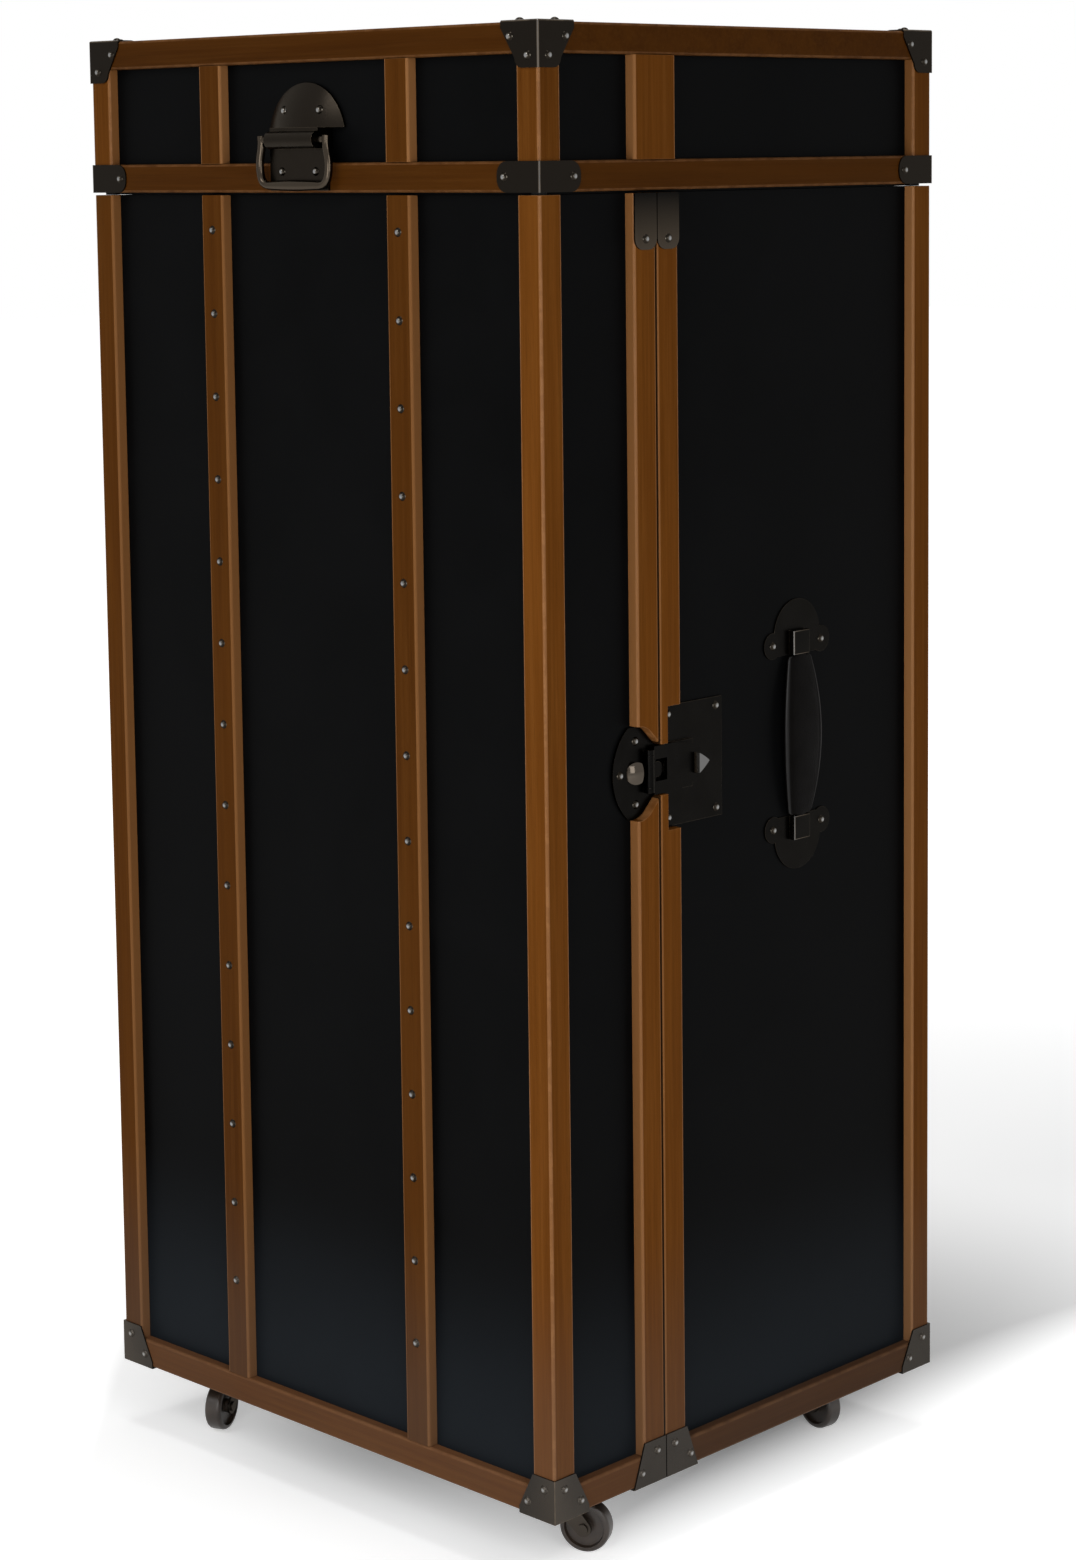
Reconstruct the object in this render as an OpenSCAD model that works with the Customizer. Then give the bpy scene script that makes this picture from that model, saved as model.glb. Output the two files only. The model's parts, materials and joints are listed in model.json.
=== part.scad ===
// Upright steamer trunk on castors. A deep cabinet carries a shallow front leaf, hinged down
// the left side, and a lid that is hinged along the back. Front is -Y, up is +Z, floor is z = 0.

/* [Trunk] */
// Width across the front, over the wood strips
trunk_w = 632; // [560:1:720]
// Depth from front to back, over the wood strips
trunk_d = 564; // [500:1:660]
// Height without the castors
box_h = 1380; // [1200:1:1560]
// Height of the lid
lid_h = 151; // [138:1:200]
// Gap between the lid and what it closes on
lid_gap = 2.4; // [1.6:0.1:4]
// Depth of the front leaf, from the trunk's front to the seam
leaf_d = 153; // [140:1:190]
// Gap at the seam between leaf and cabinet
seam_gap = 1.2; // [0.8:0.1:2.4]

/* [Boards and strips] */
// Thickness of the boards
board_t = 9; // [7:0.5:13]
// How far the wood strips stand proud of the boards
strip_t = 11; // [9:0.5:14]
// Width of a corner post on each face
post_w = 28; // [25:0.5:32]
// Height of the rails
rail_h = 28; // [25:0.5:32]
// Width of the front and back slats
slat_w = 32; // [28:0.5:38]
// Distance of each slat from the trunk's middle
slat_x = 132.5; // [115:0.5:150]
// Width of the battens along the seam
batten_w = 29.5; // [27:0.5:33]
// Width of the band over the seam on the lid's sides
band_w = 56; // [48:1:64]
// Radius of the strips' outer edges
strip_r = 2.5; // [1:0.5:4]

/* [Stamped metal] */
// Thickness of corner caps, straps and plates
sheet_t = 1.5; // [1:0.1:2.2]
// Length of a corner cap along each edge
cap_w = 45; // [40:1:52]
// Height of a corner cap on each face
cap_h = 41; // [37:1:48]
// Length of the wraps round the lid's lower corners
wrap_w = 52; // [46:1:60]
// Height of the straps at the top of the seam battens
strap_h = 52; // [44:1:60]
// Diameter of a nail head
nail_d = 8.6; // [6:0.2:10]
// Height of a nail head
nail_h = 2.6; // [1.6:0.1:3]
// Number of nails in each long slat
slat_nails = 14; // [8:1:18]
// Distance from the rim down to the first slat nail
nail_top = 34; // [30:1:50]
// Distance from the box bottom up to the last slat nail
nail_bottom = 128; // [60:1:180]

/* [Hinges] */
// Outer radius of the hinge knuckles
hinge_r = 6; // [5:0.5:7.5]
// Radius of the hinge pins
hinge_pin_r = 2.5; // [2:0.1:3]
// Thickness of the hinge plates
hinge_t = 2.4; // [1.8:0.1:3]
// Reach of a hinge plate from the pin
hinge_w = 25; // [20:0.5:27]
// Length of a door hinge
door_hinge_l = 76; // [60:1:90]
// Length of a lid hinge
lid_hinge_l = 30; // [24:1:32]
// Opening angle at which the lid hinges stop
lid_open = 100; // [90:1:105]
// Running clearance of pins in their bores
run = 0.06; // [0.04:0.01:0.09]

/* [Lid handle] */
// Height of the bail's pivot above the lid's underside
bail_z = 50; // [47:0.5:56]
// Drop of the bail from its pivot to the middle of its bar
bail_drop = 43; // [38:0.5:44]
// Spread of the bail's arms, middle to middle
bail_w = 92; // [84:1:100]
// Radius of the bail's round bar
bail_r = 4; // [3.2:0.1:4.4]
// Radius of the domed plate above the pivot
dome_r = 54; // [50:1:58]
// Half length of the pivot barrel
barrel_l = 34; // [28:0.5:36]

/* [Hasp lock] */
// Height of the hasp above the box bottom
hasp_z = 688; // [560:1:800]
// Radius of the shield plate on the leaf
shield_r = 55; // [52:0.5:58]
// Half height of the hasp's neck
neck_h = 23; // [20:0.5:25]
// Reach of the hasp past the seam
hasp_reach = 81; // [74:1:88]
// Width of the lock plate
lock_w = 85.5; // [78:0.5:92]
// Height of the lock plate
lock_h = 116; // [104:1:130]
// Distance of the lock plate from the seam
lock_y = 12.5; // [12:0.5:15]

/* [Side handles] */
// Distance of the side handles from the trunk's front
handle_y = 364.5; // [345:0.5:400]
// Height of the handles' middle above the box bottom
handle_z = 693; // [560:1:800]
// Half the length of leather between the two loops
grip_l = 80; // [70:1:95]
// Half the width of the leather at its middle
grip_w = 28; // [25:0.5:32]
// Half the width of the leather beside the loops
grip_end_w = 16.5; // [15:0.5:18]
// Thickness of the leather
grip_t = 6; // [4:0.5:8]
// How far the leather's middle stands out from the board
grip_bow = 6; // [5:0.5:10]
// Radius of the round end plates
end_plate_r = 34.5; // [32:0.5:38]

/* [Inside] */
// Diameter of the clothes rail
rail_d = 25; // [20:0.5:30]
// Drop of the clothes rail below the cabinet's top board
rail_drop = 62; // [50:1:90]
// Clear height under the shoe shelf
shelf_z = 210; // [160:1:260]
// Clear height below each leaf shelf
leaf_pitch = 380; // [320:1:420]

/* [Castors] */
// Height of the castors, floor to box
castor_h = 70; // [66:1:80]
// Wheel diameter
wheel_d = 50; // [46:1:52]
// Wheel width
wheel_w = 18; // [15:0.5:20]
// Distance from the swivel axis to the axle
trail = 29; // [26:0.5:30]
// Distance of the front swivel axes from the trunk's middle
front_castor_x = 239.5; // [200:0.5:260]
// Distance of the rear swivel axes from the trunk's middle
rear_castor_x = 262; // [200:1:264]
// Distance of the swivel axes from the trunk's front and back
castor_y = 82.5; // [78:0.5:95]

/* [Hidden] */
$fn = 48;

wood = "#7a4a1e";
black = "#15171a";
metal = "#4a4642";
nail_metal = "#6f6a63";
leather = "#1c1a19";
tyre = "#2a2522";

half_w = trunk_w / 2;
half_d = trunk_d / 2;
y_seam = leaf_d - half_d;
y_leaf = y_seam - seam_gap / 2;
y_cab = y_seam + seam_gap / 2;
z_box = castor_h;
z_top = z_box + box_h;
z_lid = z_top - lid_h;
z_rim = z_lid - lid_gap;
z_axis = z_lid - lid_gap / 2;
panel_x = half_w - strip_t;
panel_y = half_d - strip_t;
inner_x = panel_x - board_t;
inner_y = panel_y - board_t;
floor_z = z_box + board_t;
ceiling_z = z_rim - board_t;
clear = 0.3;
far = 200;

// Points of an arc round a centre
function arc(cx, cy, r, a0, a1, n = 4) =
    [for (i = [0:n]) let (a = a0 + (a1 - a0) * i / n) [cx + r * cos(a), cy + r * sin(a)]];

// A point of a cubic curve
function bezier(p, t) = p[0] * pow(1 - t, 3) + p[1] * 3 * t * pow(1 - t, 2)
    + p[2] * 3 * t * t * (1 - t) + p[3] * pow(t, 3);

// Box between two corners
module block(a, b) translate(a) cube(b - a);

// Both mirror images left and right
module both_sides() for (m = [0, 1]) mirror([m, 0, 0]) children();

// A piece drawn for the front left corner, with its legs along +X and +Y, at another corner
module corner(sx, sy)
    translate([sx * half_w, sy * half_d, 0])
    mirror([sx > 0 ? 1 : 0, 0, 0]) mirror([0, sy > 0 ? 1 : 0, 0]) children();

// A piece and its copy across the corner's diagonal
module both_legs() for (m = [0, 1]) mirror([m, -m, 0]) children();

// Drawn flat, stood against a face that looks to -Y or to +X
module facing_front(x, y, z) translate([x, y, z]) rotate([90, 0, 0]) children();
module facing_right(x, y, z) translate([x, y, z]) rotate([90, 0, 90]) children();
module facing_back() rotate([0, 0, 180]) children();

// Flat wood strip of width w, standing along Z, with its outer edges rounded
module strip(w, length)
    linear_extrude(length)
    polygon(concat([[-w / 2, 0], [w / 2, 0]],
        arc(w / 2 - strip_r, strip_t - strip_r, strip_r, 0, 90),
        arc(strip_r - w / 2, strip_t - strip_r, strip_r, 90, 180)));

// Wood angle with its outer corner at the origin and legs along +X and +Y
module angle_strip(leg, length)
    linear_extrude(length)
    polygon(concat([[leg, strip_t], [strip_t, strip_t], [strip_t, leg]],
        arc(strip_r, leg - strip_r, strip_r, 90, 180),
        arc(strip_r, strip_r, strip_r, 180, 270),
        arc(leg - strip_r, strip_r, strip_r, 270, 360)));

// Upright strip on the front face, centred at x, from z0 to z1
module front_strip(x, w, z0, z1)
    translate([x, strip_t - half_d, z0]) rotate([0, 0, 180]) strip(w, z1 - z0);
// Upright strip on the right face, centred at y
module right_strip(y, w, z0, z1)
    translate([panel_x, y, z0]) rotate([0, 0, -90]) strip(w, z1 - z0);
// Level strip on the front face, from x0 to x1, with its lower edge at z
module front_rail(x0, x1, z)
    translate([x0, strip_t - half_d, z + rail_h / 2]) rotate([90, 0, 90])
    rotate([0, 0, 90]) strip(rail_h, x1 - x0);
// Level strip on the right face, from y0 to y1
module right_rail(y0, y1, z)
    translate([panel_x, y1, z + rail_h / 2]) rotate([90, 0, 0])
    rotate([0, 0, -90]) strip(rail_h, y1 - y0);

// Domed nail head standing on z = 0
module nail() {
    sphere_r = (pow(nail_d / 2, 2) + pow(nail_h, 2)) / (2 * nail_h);
    rotate_extrude($fn = 24) intersection() {
        translate([0, nail_h - sphere_r]) circle(sphere_r, $fn = 64);
        square([nail_d / 2, nail_h]);
    }
}

// Outline of a cap's face: square at the top edge, tapered to the post's width below
function cap_points(foot_r) = concat(
    [[-sheet_t, sheet_t], [cap_w, sheet_t], [cap_w, -strip_t / 2]],
    arc(post_w - foot_r, foot_r - cap_h, foot_r, 0, -90), [[-sheet_t, -cap_h]]);

// Corner cap over three faces, drawn at the front left top corner
module corner_cap(foot_r) {
    both_legs() rotate([90, 0, 0]) linear_extrude(sheet_t) polygon(cap_points(foot_r));
    linear_extrude(sheet_t)
        polygon([[-sheet_t, -sheet_t], [cap_w, -sheet_t], [cap_w, cap_flange],
            [cap_flange, cap_w], [-sheet_t, cap_w]]);
}
cap_flange = 17;
cap_foot_r = 9;
foot_cap_r = 2;
cap_nails = [[34, 13], [12, 30]];
flange_nails = [[31, 9], [9, 31]];

// Nails of one corner cap, two on each face
module cap_nail_set() {
    both_legs() for (p = cap_nails) facing_front(p[0], -sheet_t, -p[1]) nail();
    for (p = flange_nails) translate([p[0], p[1], sheet_t]) nail();
}

// Foot plate of a seam batten: one face of a corner cap with its bottom flange
module seam_foot() {
    linear_extrude(sheet_t)
        polygon([[0, -sheet_t], [cap_w, -sheet_t], [batten_w, cap_h], [0, cap_h]]);
    rotate([90, 0, 0]) translate([0, sheet_t - cap_flange, 0]) linear_extrude(sheet_t)
        square([cap_w, cap_flange]);
}
// Strap over the top of a seam batten
module seam_strap()
    linear_extrude(sheet_t)
    polygon(concat([[0, 0]], arc(strap_r, strap_r - strap_h, strap_r, 180, 270),
        arc(batten_w - strap_r, strap_r - strap_h, strap_r, 270, 360), [[batten_w, 0]]));
strap_r = 10;
strap_nail = 10;

// Two pieces at the seam: drawn from the seam outwards, for the leaf and for the cabinet
module leaf_seam_right(z) translate([half_w, y_leaf, z]) rotate([90, 0, 90]) mirror([1, 0, 0]) children();
module cabinet_seam_right(z) translate([half_w, y_cab, z]) rotate([90, 0, 90]) children();

// One half of a butt hinge whose pin is the Z axis and whose plate lies on the face x = hinge_r.
// Flat children are added to its knuckles
module hinge_half(length, side, knuckles, fit) {
    joint = length / 3;
    difference() {
        union() {
            block([hinge_r - hinge_t, side > 0 ? hinge_r + clear : -hinge_w, 0],
                [hinge_r, side > 0 ? hinge_w : -hinge_r - clear, length]);
            for (k = knuckles) translate([0, 0, k * joint + (k > 0 ? clear / 2 : 0)])
                linear_extrude(joint - clear / 2 * (k == 1 ? 2 : 1)) {
                    circle(hinge_r);
                    translate([hinge_r - hinge_t, side > 0 ? 0 : -hinge_r - 1])
                        square([hinge_t, hinge_r + 1]);
                    children();
                }
        }
        translate([0, 0, -1]) cylinder(r = hinge_pin_r + fit, h = length + 2);
    }
}
// Hinge pin with a head at each end
module hinge_pin(length) {
    translate([0, 0, -head_t]) cylinder(r = hinge_pin_r, h = length + 2 * head_t);
    for (z = [-head_t, length]) translate([0, 0, z]) cylinder(r = pin_head_r, h = head_t);
}
head_t = 2;
pin_head_r = 4;

// Door hinges: three along the left seam
door_hinge_end = [130, 150];
door_hinge_z = [z_box + door_hinge_end[0], (z_box + z_rim) / 2, z_rim - door_hinge_end[1]];
module at_door_hinges()
    for (z = door_hinge_z) translate([-half_w - hinge_r, y_seam, z - door_hinge_l / 2]) children();

// Lid hinges: one on each back slat, with the pin level in the lid's gap
module at_lid_hinges()
    for (s = [-1, 1]) translate([s * slat_x + lid_hinge_l / 2, half_d + hinge_r, z_axis])
        rotate([90, 0, -90]) children();
// The tail that stops the lid: it stands out behind the pin
tail_l = 17;
tail_t = 2.4;
tail_root = hinge_r + clear;
tail_in = hinge_pin_r + 1;
stop_play = 1;
tail_a = (lid_open + stop_play) / 2 + asin(tail_t / 2 / tail_root);
module tail_2d(up) rotate(180 - up * tail_a)
    translate([tail_in, -tail_t / 2]) square([tail_l - tail_in, tail_t]);

// Tube swept along points in the XZ plane, with its own radius at each point
module swept_bar(path, radii, sides = 12) {
    last = len(path) - 1;
    tangents = [for (i = [0:last]) let (d = path[min(i + 1, last)] - path[max(i - 1, 0)]) d / norm(d)];
    rings = [for (i = [0:last]) for (k = [0:sides - 1]) let (a = 360 * k / sides)
        [path[i][0] - tangents[i][1] * radii[i] * cos(a), radii[i] * sin(a),
            path[i][1] + tangents[i][0] * radii[i] * cos(a)]];
    walls = [for (i = [0:last - 1]) for (k = [0:sides - 1]) let (n = (k + 1) % sides)
        each [[i * sides + k, i * sides + n, (i + 1) * sides + n],
            [i * sides + k, (i + 1) * sides + n, (i + 1) * sides + k]]];
    ends = [[for (k = [0:sides - 1]) sides - 1 - k], [for (k = [0:sides - 1]) last * sides + k]];
    polyhedron(rings, concat(walls, ends), convexity = 6);
}

// Cabinet: boards
module cabinet_bottom_board() color(black)
    block([-panel_x, y_cab, z_box], [panel_x, panel_y, floor_z]);
module cabinet_top_board() color(black)
    block([-panel_x, y_cab, ceiling_z], [panel_x, panel_y, z_rim]);
module cabinet_back_board() color(black)
    block([-panel_x, inner_y, floor_z], [panel_x, panel_y, ceiling_z]);
module cabinet_side_boards() color(black) both_sides()
    block([inner_x, y_cab, floor_z], [panel_x, inner_y, ceiling_z]);

// Cabinet: wood strips
module cabinet_corner_posts() color(wood)
    for (s = [-1, 1]) corner(s, 1) translate([0, 0, z_box]) angle_strip(post_w, z_rim - z_box);
module cabinet_bottom_rails() color(wood) {
    facing_back() front_rail(post_w - half_w, half_w - post_w, z_box);
    both_sides() right_rail(y_cab + batten_w, half_d - post_w, z_box);
}
module cabinet_back_slats() color(wood) facing_back()
    for (s = [-1, 1]) front_strip(s * slat_x, slat_w, z_box + rail_h, z_rim);
module cabinet_seam_battens() color(wood) {
    mirror([1, 0, 0]) right_strip(y_cab + batten_w / 2, batten_w, z_box, z_rim);
    difference() {
        right_strip(y_cab + batten_w / 2, batten_w, z_box, z_rim);
        hasp_cut();
    }
}

// Cabinet: stamped metal and nails
module cabinet_brackets() color(metal) {
    for (s = [-1, 1]) corner(s, 1) translate([0, 0, z_box]) mirror([0, 0, 1]) corner_cap(foot_cap_r);
    both_sides() cabinet_seam_right(z_box) seam_foot();
    both_sides() cabinet_seam_right(z_rim) seam_strap();
}
module seam_foot_nails()
    for (p = cap_nails) translate([p[0], p[1], sheet_t]) nail();
module seam_strap_nail()
    translate([batten_w / 2, strap_nail - strap_h, sheet_t]) nail();
module slat_nail_rows(y_face)
    for (s = [-1, 1], i = [0:slat_nails - 1])
        facing_front(s * slat_x, y_face,
            z_box + nail_bottom + (z_rim - nail_top - z_box - nail_bottom) * i / (slat_nails - 1)) nail();
module cabinet_nails() color(nail_metal) {
    for (s = [-1, 1]) corner(s, 1) translate([0, 0, z_box]) mirror([0, 0, 1]) cap_nail_set();
    both_sides() cabinet_seam_right(z_box) seam_foot_nails();
    both_sides() cabinet_seam_right(z_rim) seam_strap_nail();
    facing_back() slat_nail_rows(-half_d);
    on_hasp() for (u = [lock_y + lock_inset, lock_y + lock_w - lock_inset], s = [-1, 1])
        translate([u, s * (lock_h / 2 - lock_inset), lock_t]) nail();
    both_sides() on_handle() for (e = [-1, 1], s = [-1, 1])
        translate([s * ear_y, e * ear_z, sheet_t]) nail();
}

// Hasp lock, drawn flat with its origin on the seam and z = 0 on the right boards
module on_hasp() facing_right(panel_x, y_seam, z_box + hasp_z) children();
shield_y = -1;
shield_t = 2.5;
shield_top = 43.4;
shoulder = [-27.5, 23.4];
shoulder_r = 20;
lock_t = 2;
lock_inset = 8.5;
hasp_fit = 1.2;
hasp_axis = [-10, 7];
hasp_knuckle_r = 4.4;
hasp_pin_r = 2;
hasp_t = 3;
hasp_half = 15.5;
lug_t = 4.5;
window = [[-3.5, -10.5], [12.5, 10.5]];
tongue_y = 19;

// Shield: a round left edge, and two shoulders that slope down to the neck
module shield_2d(reach, grow = 0) {
    bend = shoulder_r + grow;
    r = shield_r + grow;
    neck = neck_h + grow;
    rim = asin((shield_top + grow) / r);
    foot = shoulder + bend * [cos(45), sin(45)];
    upper = concat([[reach, neck], [foot[0] + foot[1] - neck, neck]],
        arc(shoulder[0], shoulder[1], bend, 45, 90), arc(shield_y, 0, r, 180 - rim, 180, 12));
    last = len(upper) - 1;
    polygon(concat(upper, [for (i = [1:last]) [upper[last - i][0], -upper[last - i][1]]]));
}
// What the seam battens lose to the lock: the shield's outline and the lock plate's
module hasp_cut() on_hasp() translate([0, 0, -1]) linear_extrude(strip_t + 2) {
    shield_2d(2 * batten_w, hasp_fit);
    translate([lock_y - hasp_fit, -lock_h / 2 - hasp_fit])
        square([lock_w + 2 * hasp_fit, lock_h + 2 * hasp_fit]);
}
module lock_plate() color(metal) on_hasp() {
    translate([lock_y, -lock_h / 2, 0]) cube([lock_w, lock_h, lock_t]);
    translate([lock_y, -neck_h, 0]) cube([lock_case_l, 2 * neck_h, case_t]);
    translate([eye_y, 0, case_t - eye_t]) cylinder(r = lock_eye_r, h = eye_t);
    block([eye_y, -lock_eye_r / 2, case_t - eye_t], [lock_y + 1, lock_eye_r / 2, case_t - eye_t / 2]);
}
lock_case_l = 40;
case_t = hasp_axis[1] - hasp_t / 2 - clear;
// Round eye of the lock, seen through the hasp's window
eye_y = 2.4;
lock_eye_r = 7.6;
eye_t = 2.2;
module hasp_plate() color(metal) on_hasp() {
    difference() {
        union() {
            linear_extrude(shield_t) shield_2d(-seam_gap / 2);
            for (s = [-1, 1]) translate([hasp_axis[0], s * (hasp_half + clear + lug_t / 2) + lug_t / 2, 0])
                rotate([90, 0, 0]) linear_extrude(lug_t) {
                    translate([0, hasp_axis[1]]) circle(hasp_knuckle_r);
                    translate([-hasp_knuckle_r, 0]) square([2 * hasp_knuckle_r, hasp_axis[1]]);
                }
        }
        hasp_bore(hasp_pin_r);
    }
    hasp_boss();
}
module hasp_bore(r)
    translate([hasp_axis[0], far, hasp_axis[1]]) rotate([90, 0, 0]) cylinder(r = r, h = 2 * far);
// Polished D-shaped boss beside the knuckle
boss_r = 10.6;
boss_x = -27;
boss_flat = -21.4;
boss_h = 10;
boss_sphere = 20;
module hasp_boss() intersection() {
    translate([boss_x, 0, 0]) cylinder(r = boss_r, h = boss_h);
    block([-far, -boss_r, 0], [boss_flat, boss_r, boss_h]);
    translate([boss_flat, 0, boss_h - boss_sphere]) sphere(boss_sphere);
}
module hasp_pin() color(nail_metal) on_hasp() {
    reach = hasp_half + clear + lug_t;
    translate([hasp_axis[0], reach, hasp_axis[1]])
        rotate([90, 0, 0]) cylinder(r = hasp_pin_r, h = 2 * reach);
}
// Hasp: knuckle, neck with a window, and a pointed tongue with a raised nose
tongue_c = (pow(hasp_reach - tongue_y, 2) - neck_h * neck_h) / (2 * neck_h);
module tongue_2d(cut = 0) intersection() {
    edge_r = tongue_c + neck_h - cut;
    translate([tongue_y, -tongue_c]) circle(edge_r, $fn = 96);
    translate([tongue_y, tongue_c]) circle(edge_r, $fn = 96);
    translate([tongue_y, -neck_h]) square([hasp_reach, 2 * neck_h]);
}
neck_y = hasp_axis[0] + hasp_knuckle_r + clear;
nose_y = 50.5;
nose_h = 6;
nose_lean = 1.5;
nose_tip = 0.8;
nose_inset = 7;
module hasp() color(metal) on_hasp() difference() {
    union() {
        translate([hasp_axis[0], hasp_half, hasp_axis[1]]) rotate([90, 0, 0])
            cylinder(r = hasp_knuckle_r, h = 2 * hasp_half);
        translate([0, 0, hasp_axis[1] - hasp_t / 2]) linear_extrude(hasp_t) difference() {
            union() {
                translate([hasp_axis[0], -hasp_half]) square([tongue_y - hasp_axis[0], 2 * hasp_half]);
                translate([neck_y, -neck_h]) square([tongue_y - neck_y, 2 * neck_h]);
                tongue_2d();
            }
            translate(window[0]) square(window[1] - window[0]);
        }
        intersection() {
            translate([0, 0, hasp_axis[1]]) linear_extrude(strip_t) tongue_2d(nose_inset);
            translate([0, far, hasp_axis[1] + hasp_t / 2]) rotate([90, 0, 0]) linear_extrude(2 * far)
                polygon([[nose_y, -1], [nose_y + nose_lean, nose_h], [hasp_reach, nose_tip], [hasp_reach, -1]]);
        }
    }
    hasp_bore(hasp_pin_r + run);
}

// Side handles, drawn flat with their origin at the handle's middle and z = 0 on the boards
module on_handle() facing_right(panel_x, handle_y - half_d, z_box + handle_z) children();
loop_l = 24;
loop_t = 2;
ear_r = 13;
ear_y = end_plate_r + 2;
ear_z = grip_l + 11;
strap_w = 9.7;
strap_end_t = 4;
strap_lap = 4;
arch_cut = 0.5;
plate_mid = grip_l + 20;
module handle_end_plate() {
    linear_extrude(sheet_t) {
        intersection() {
            translate([0, plate_mid]) circle(end_plate_r);
            translate([-far, grip_l]) square(2 * far);
        }
        for (s = [-1, 1]) translate([s * ear_y, ear_z]) circle(ear_r);
    }
    difference() {
        loop_w = strap_w + clear + loop_t;
        rise = sheet_t + 2 * clear + strap_end_t + loop_t;
        translate([-loop_w, grip_l, 0]) cube([2 * loop_w, loop_l, rise]);
        translate([loop_t - loop_w, grip_l - 1, sheet_t])
            cube([2 * (loop_w - loop_t), loop_l + 2, strap_end_t + 2 * clear]);
    }
}
module handle_end_plates() color(metal) both_sides() on_handle()
    for (m = [0, 1]) mirror([0, m, 0]) handle_end_plate();

// Radius of an arc that rises this much over the grip's length
function arch_r(rise) = (grip_l * grip_l + rise * rise) / (2 * rise);
// Leather grip: a bowed band cut to a leaf outline, with flat ends under the loops
module handle_grip() {
    seat = sheet_t + clear;
    inner_r = arch_r(grip_bow - seat);
    outer_r = arch_r(grip_bow + grip_t - seat - strap_end_t);
    leaf_r = arch_r(grip_w - grip_end_w);
    intersection() {
        linear_extrude(grip_bow + grip_t) intersection_for (s = [-1, 1])
            translate([s * (leaf_r - grip_w), 0]) circle(leaf_r, $fn = 180);
        translate([grip_w, 0, 0]) rotate([0, -90, 0]) linear_extrude(2 * grip_w) difference() {
            translate([grip_bow + grip_t - outer_r, 0]) circle(outer_r, $fn = 180);
            translate([grip_bow - inner_r, 0]) circle(inner_r, $fn = 180);
        }
        block([-grip_w, arch_cut - grip_l, seat], [grip_w, grip_l - arch_cut, grip_bow + grip_t]);
    }
    for (m = [0, 1]) mirror([0, m, 0])
        block([-strap_w, grip_l - strap_lap, seat], [strap_w, grip_l + loop_l, seat + strap_end_t]);
}
module right_handle_grip() color(leather) on_handle() handle_grip();
module left_handle_grip() color(leather) mirror([1, 0, 0]) on_handle() handle_grip();

// Cabinet: hinges
module cabinet_hinge_plates() color(metal) at_door_hinges() hinge_half(door_hinge_l, 1, [0, 2], 0);
module lid_stop_hinge_plates() color(metal) at_lid_hinges() {
    hinge_half(lid_hinge_l, -1, [0, 2], 0);
    difference() {
        linear_extrude(lid_hinge_l) tail_2d(-1);
        translate([0, 0, lid_hinge_l / 3]) cylinder(r = hinge_r + clear, h = lid_hinge_l / 3);
    }
}
module hinge_pins() color(nail_metal) {
    at_door_hinges() hinge_pin(door_hinge_l);
    at_lid_hinges() hinge_pin(lid_hinge_l);
}

// Cabinet: inside
rail_y = (y_cab + inner_y) / 2;
rail_z = ceiling_z - rail_drop;
socket_l = 14;
socket_t = 5;
socket_wall = 3;
socket_flange = 11;
flange_t = 3;
tube_t = 2;
shelf_set_back = 30;
cleat_t = 14;
cleat_h = 20;
module clothes_rail() color(nail_metal)
    translate([-inner_x + socket_t + clear, rail_y, rail_z]) rotate([0, 90, 0]) difference() {
        cylinder(d = rail_d, h = 2 * (inner_x - socket_t - clear));
        translate([0, 0, -1]) cylinder(d = rail_d - 2 * tube_t, h = 2 * inner_x);
    }
module rail_sockets() color(metal) both_sides()
    translate([inner_x, rail_y, rail_z]) rotate([0, -90, 0]) difference() {
        union() {
            cylinder(d = rail_d + 2 * socket_wall, h = socket_l);
            cylinder(d = rail_d + 2 * socket_flange, h = flange_t);
        }
        translate([0, 0, socket_t]) cylinder(r = rail_d / 2 + clear, h = socket_l);
    }
module shoe_shelf() color(wood)
    block([-inner_x, y_cab + shelf_set_back, floor_z + shelf_z],
        [inner_x, inner_y, floor_z + shelf_z + board_t]);
module shelf_cleats() color(wood) both_sides()
    block([inner_x - cleat_t, y_cab + shelf_set_back, floor_z + shelf_z - cleat_h],
        [inner_x, inner_y, floor_z + shelf_z]);

// Leaf: boards
module leaf_front_board() color(black)
    block([-panel_x, -panel_y, floor_z], [panel_x, -inner_y, ceiling_z]);
module leaf_bottom_board() color(black)
    block([-panel_x, -panel_y, z_box], [panel_x, y_leaf, floor_z]);
module leaf_top_board() color(black)
    block([-panel_x, -panel_y, ceiling_z], [panel_x, y_leaf, z_rim]);
module leaf_side_boards() color(black) both_sides()
    block([inner_x, -inner_y, floor_z], [panel_x, y_leaf, ceiling_z]);

// Leaf: wood strips
module leaf_corner_posts() color(wood)
    for (s = [-1, 1]) corner(s, -1) translate([0, 0, z_box]) angle_strip(post_w, z_rim - z_box);
module leaf_bottom_rails() color(wood) {
    front_rail(post_w - half_w, half_w - post_w, z_box);
    both_sides() right_rail(post_w - half_d, y_leaf - batten_w, z_box);
}
module leaf_front_slats() color(wood)
    for (s = [-1, 1]) front_strip(s * slat_x, slat_w, z_box + rail_h, z_rim);
module leaf_seam_battens() color(wood) {
    mirror([1, 0, 0]) right_strip(y_leaf - batten_w / 2, batten_w, z_box, z_rim);
    difference() {
        right_strip(y_leaf - batten_w / 2, batten_w, z_box, z_rim);
        hasp_cut();
    }
}

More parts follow.
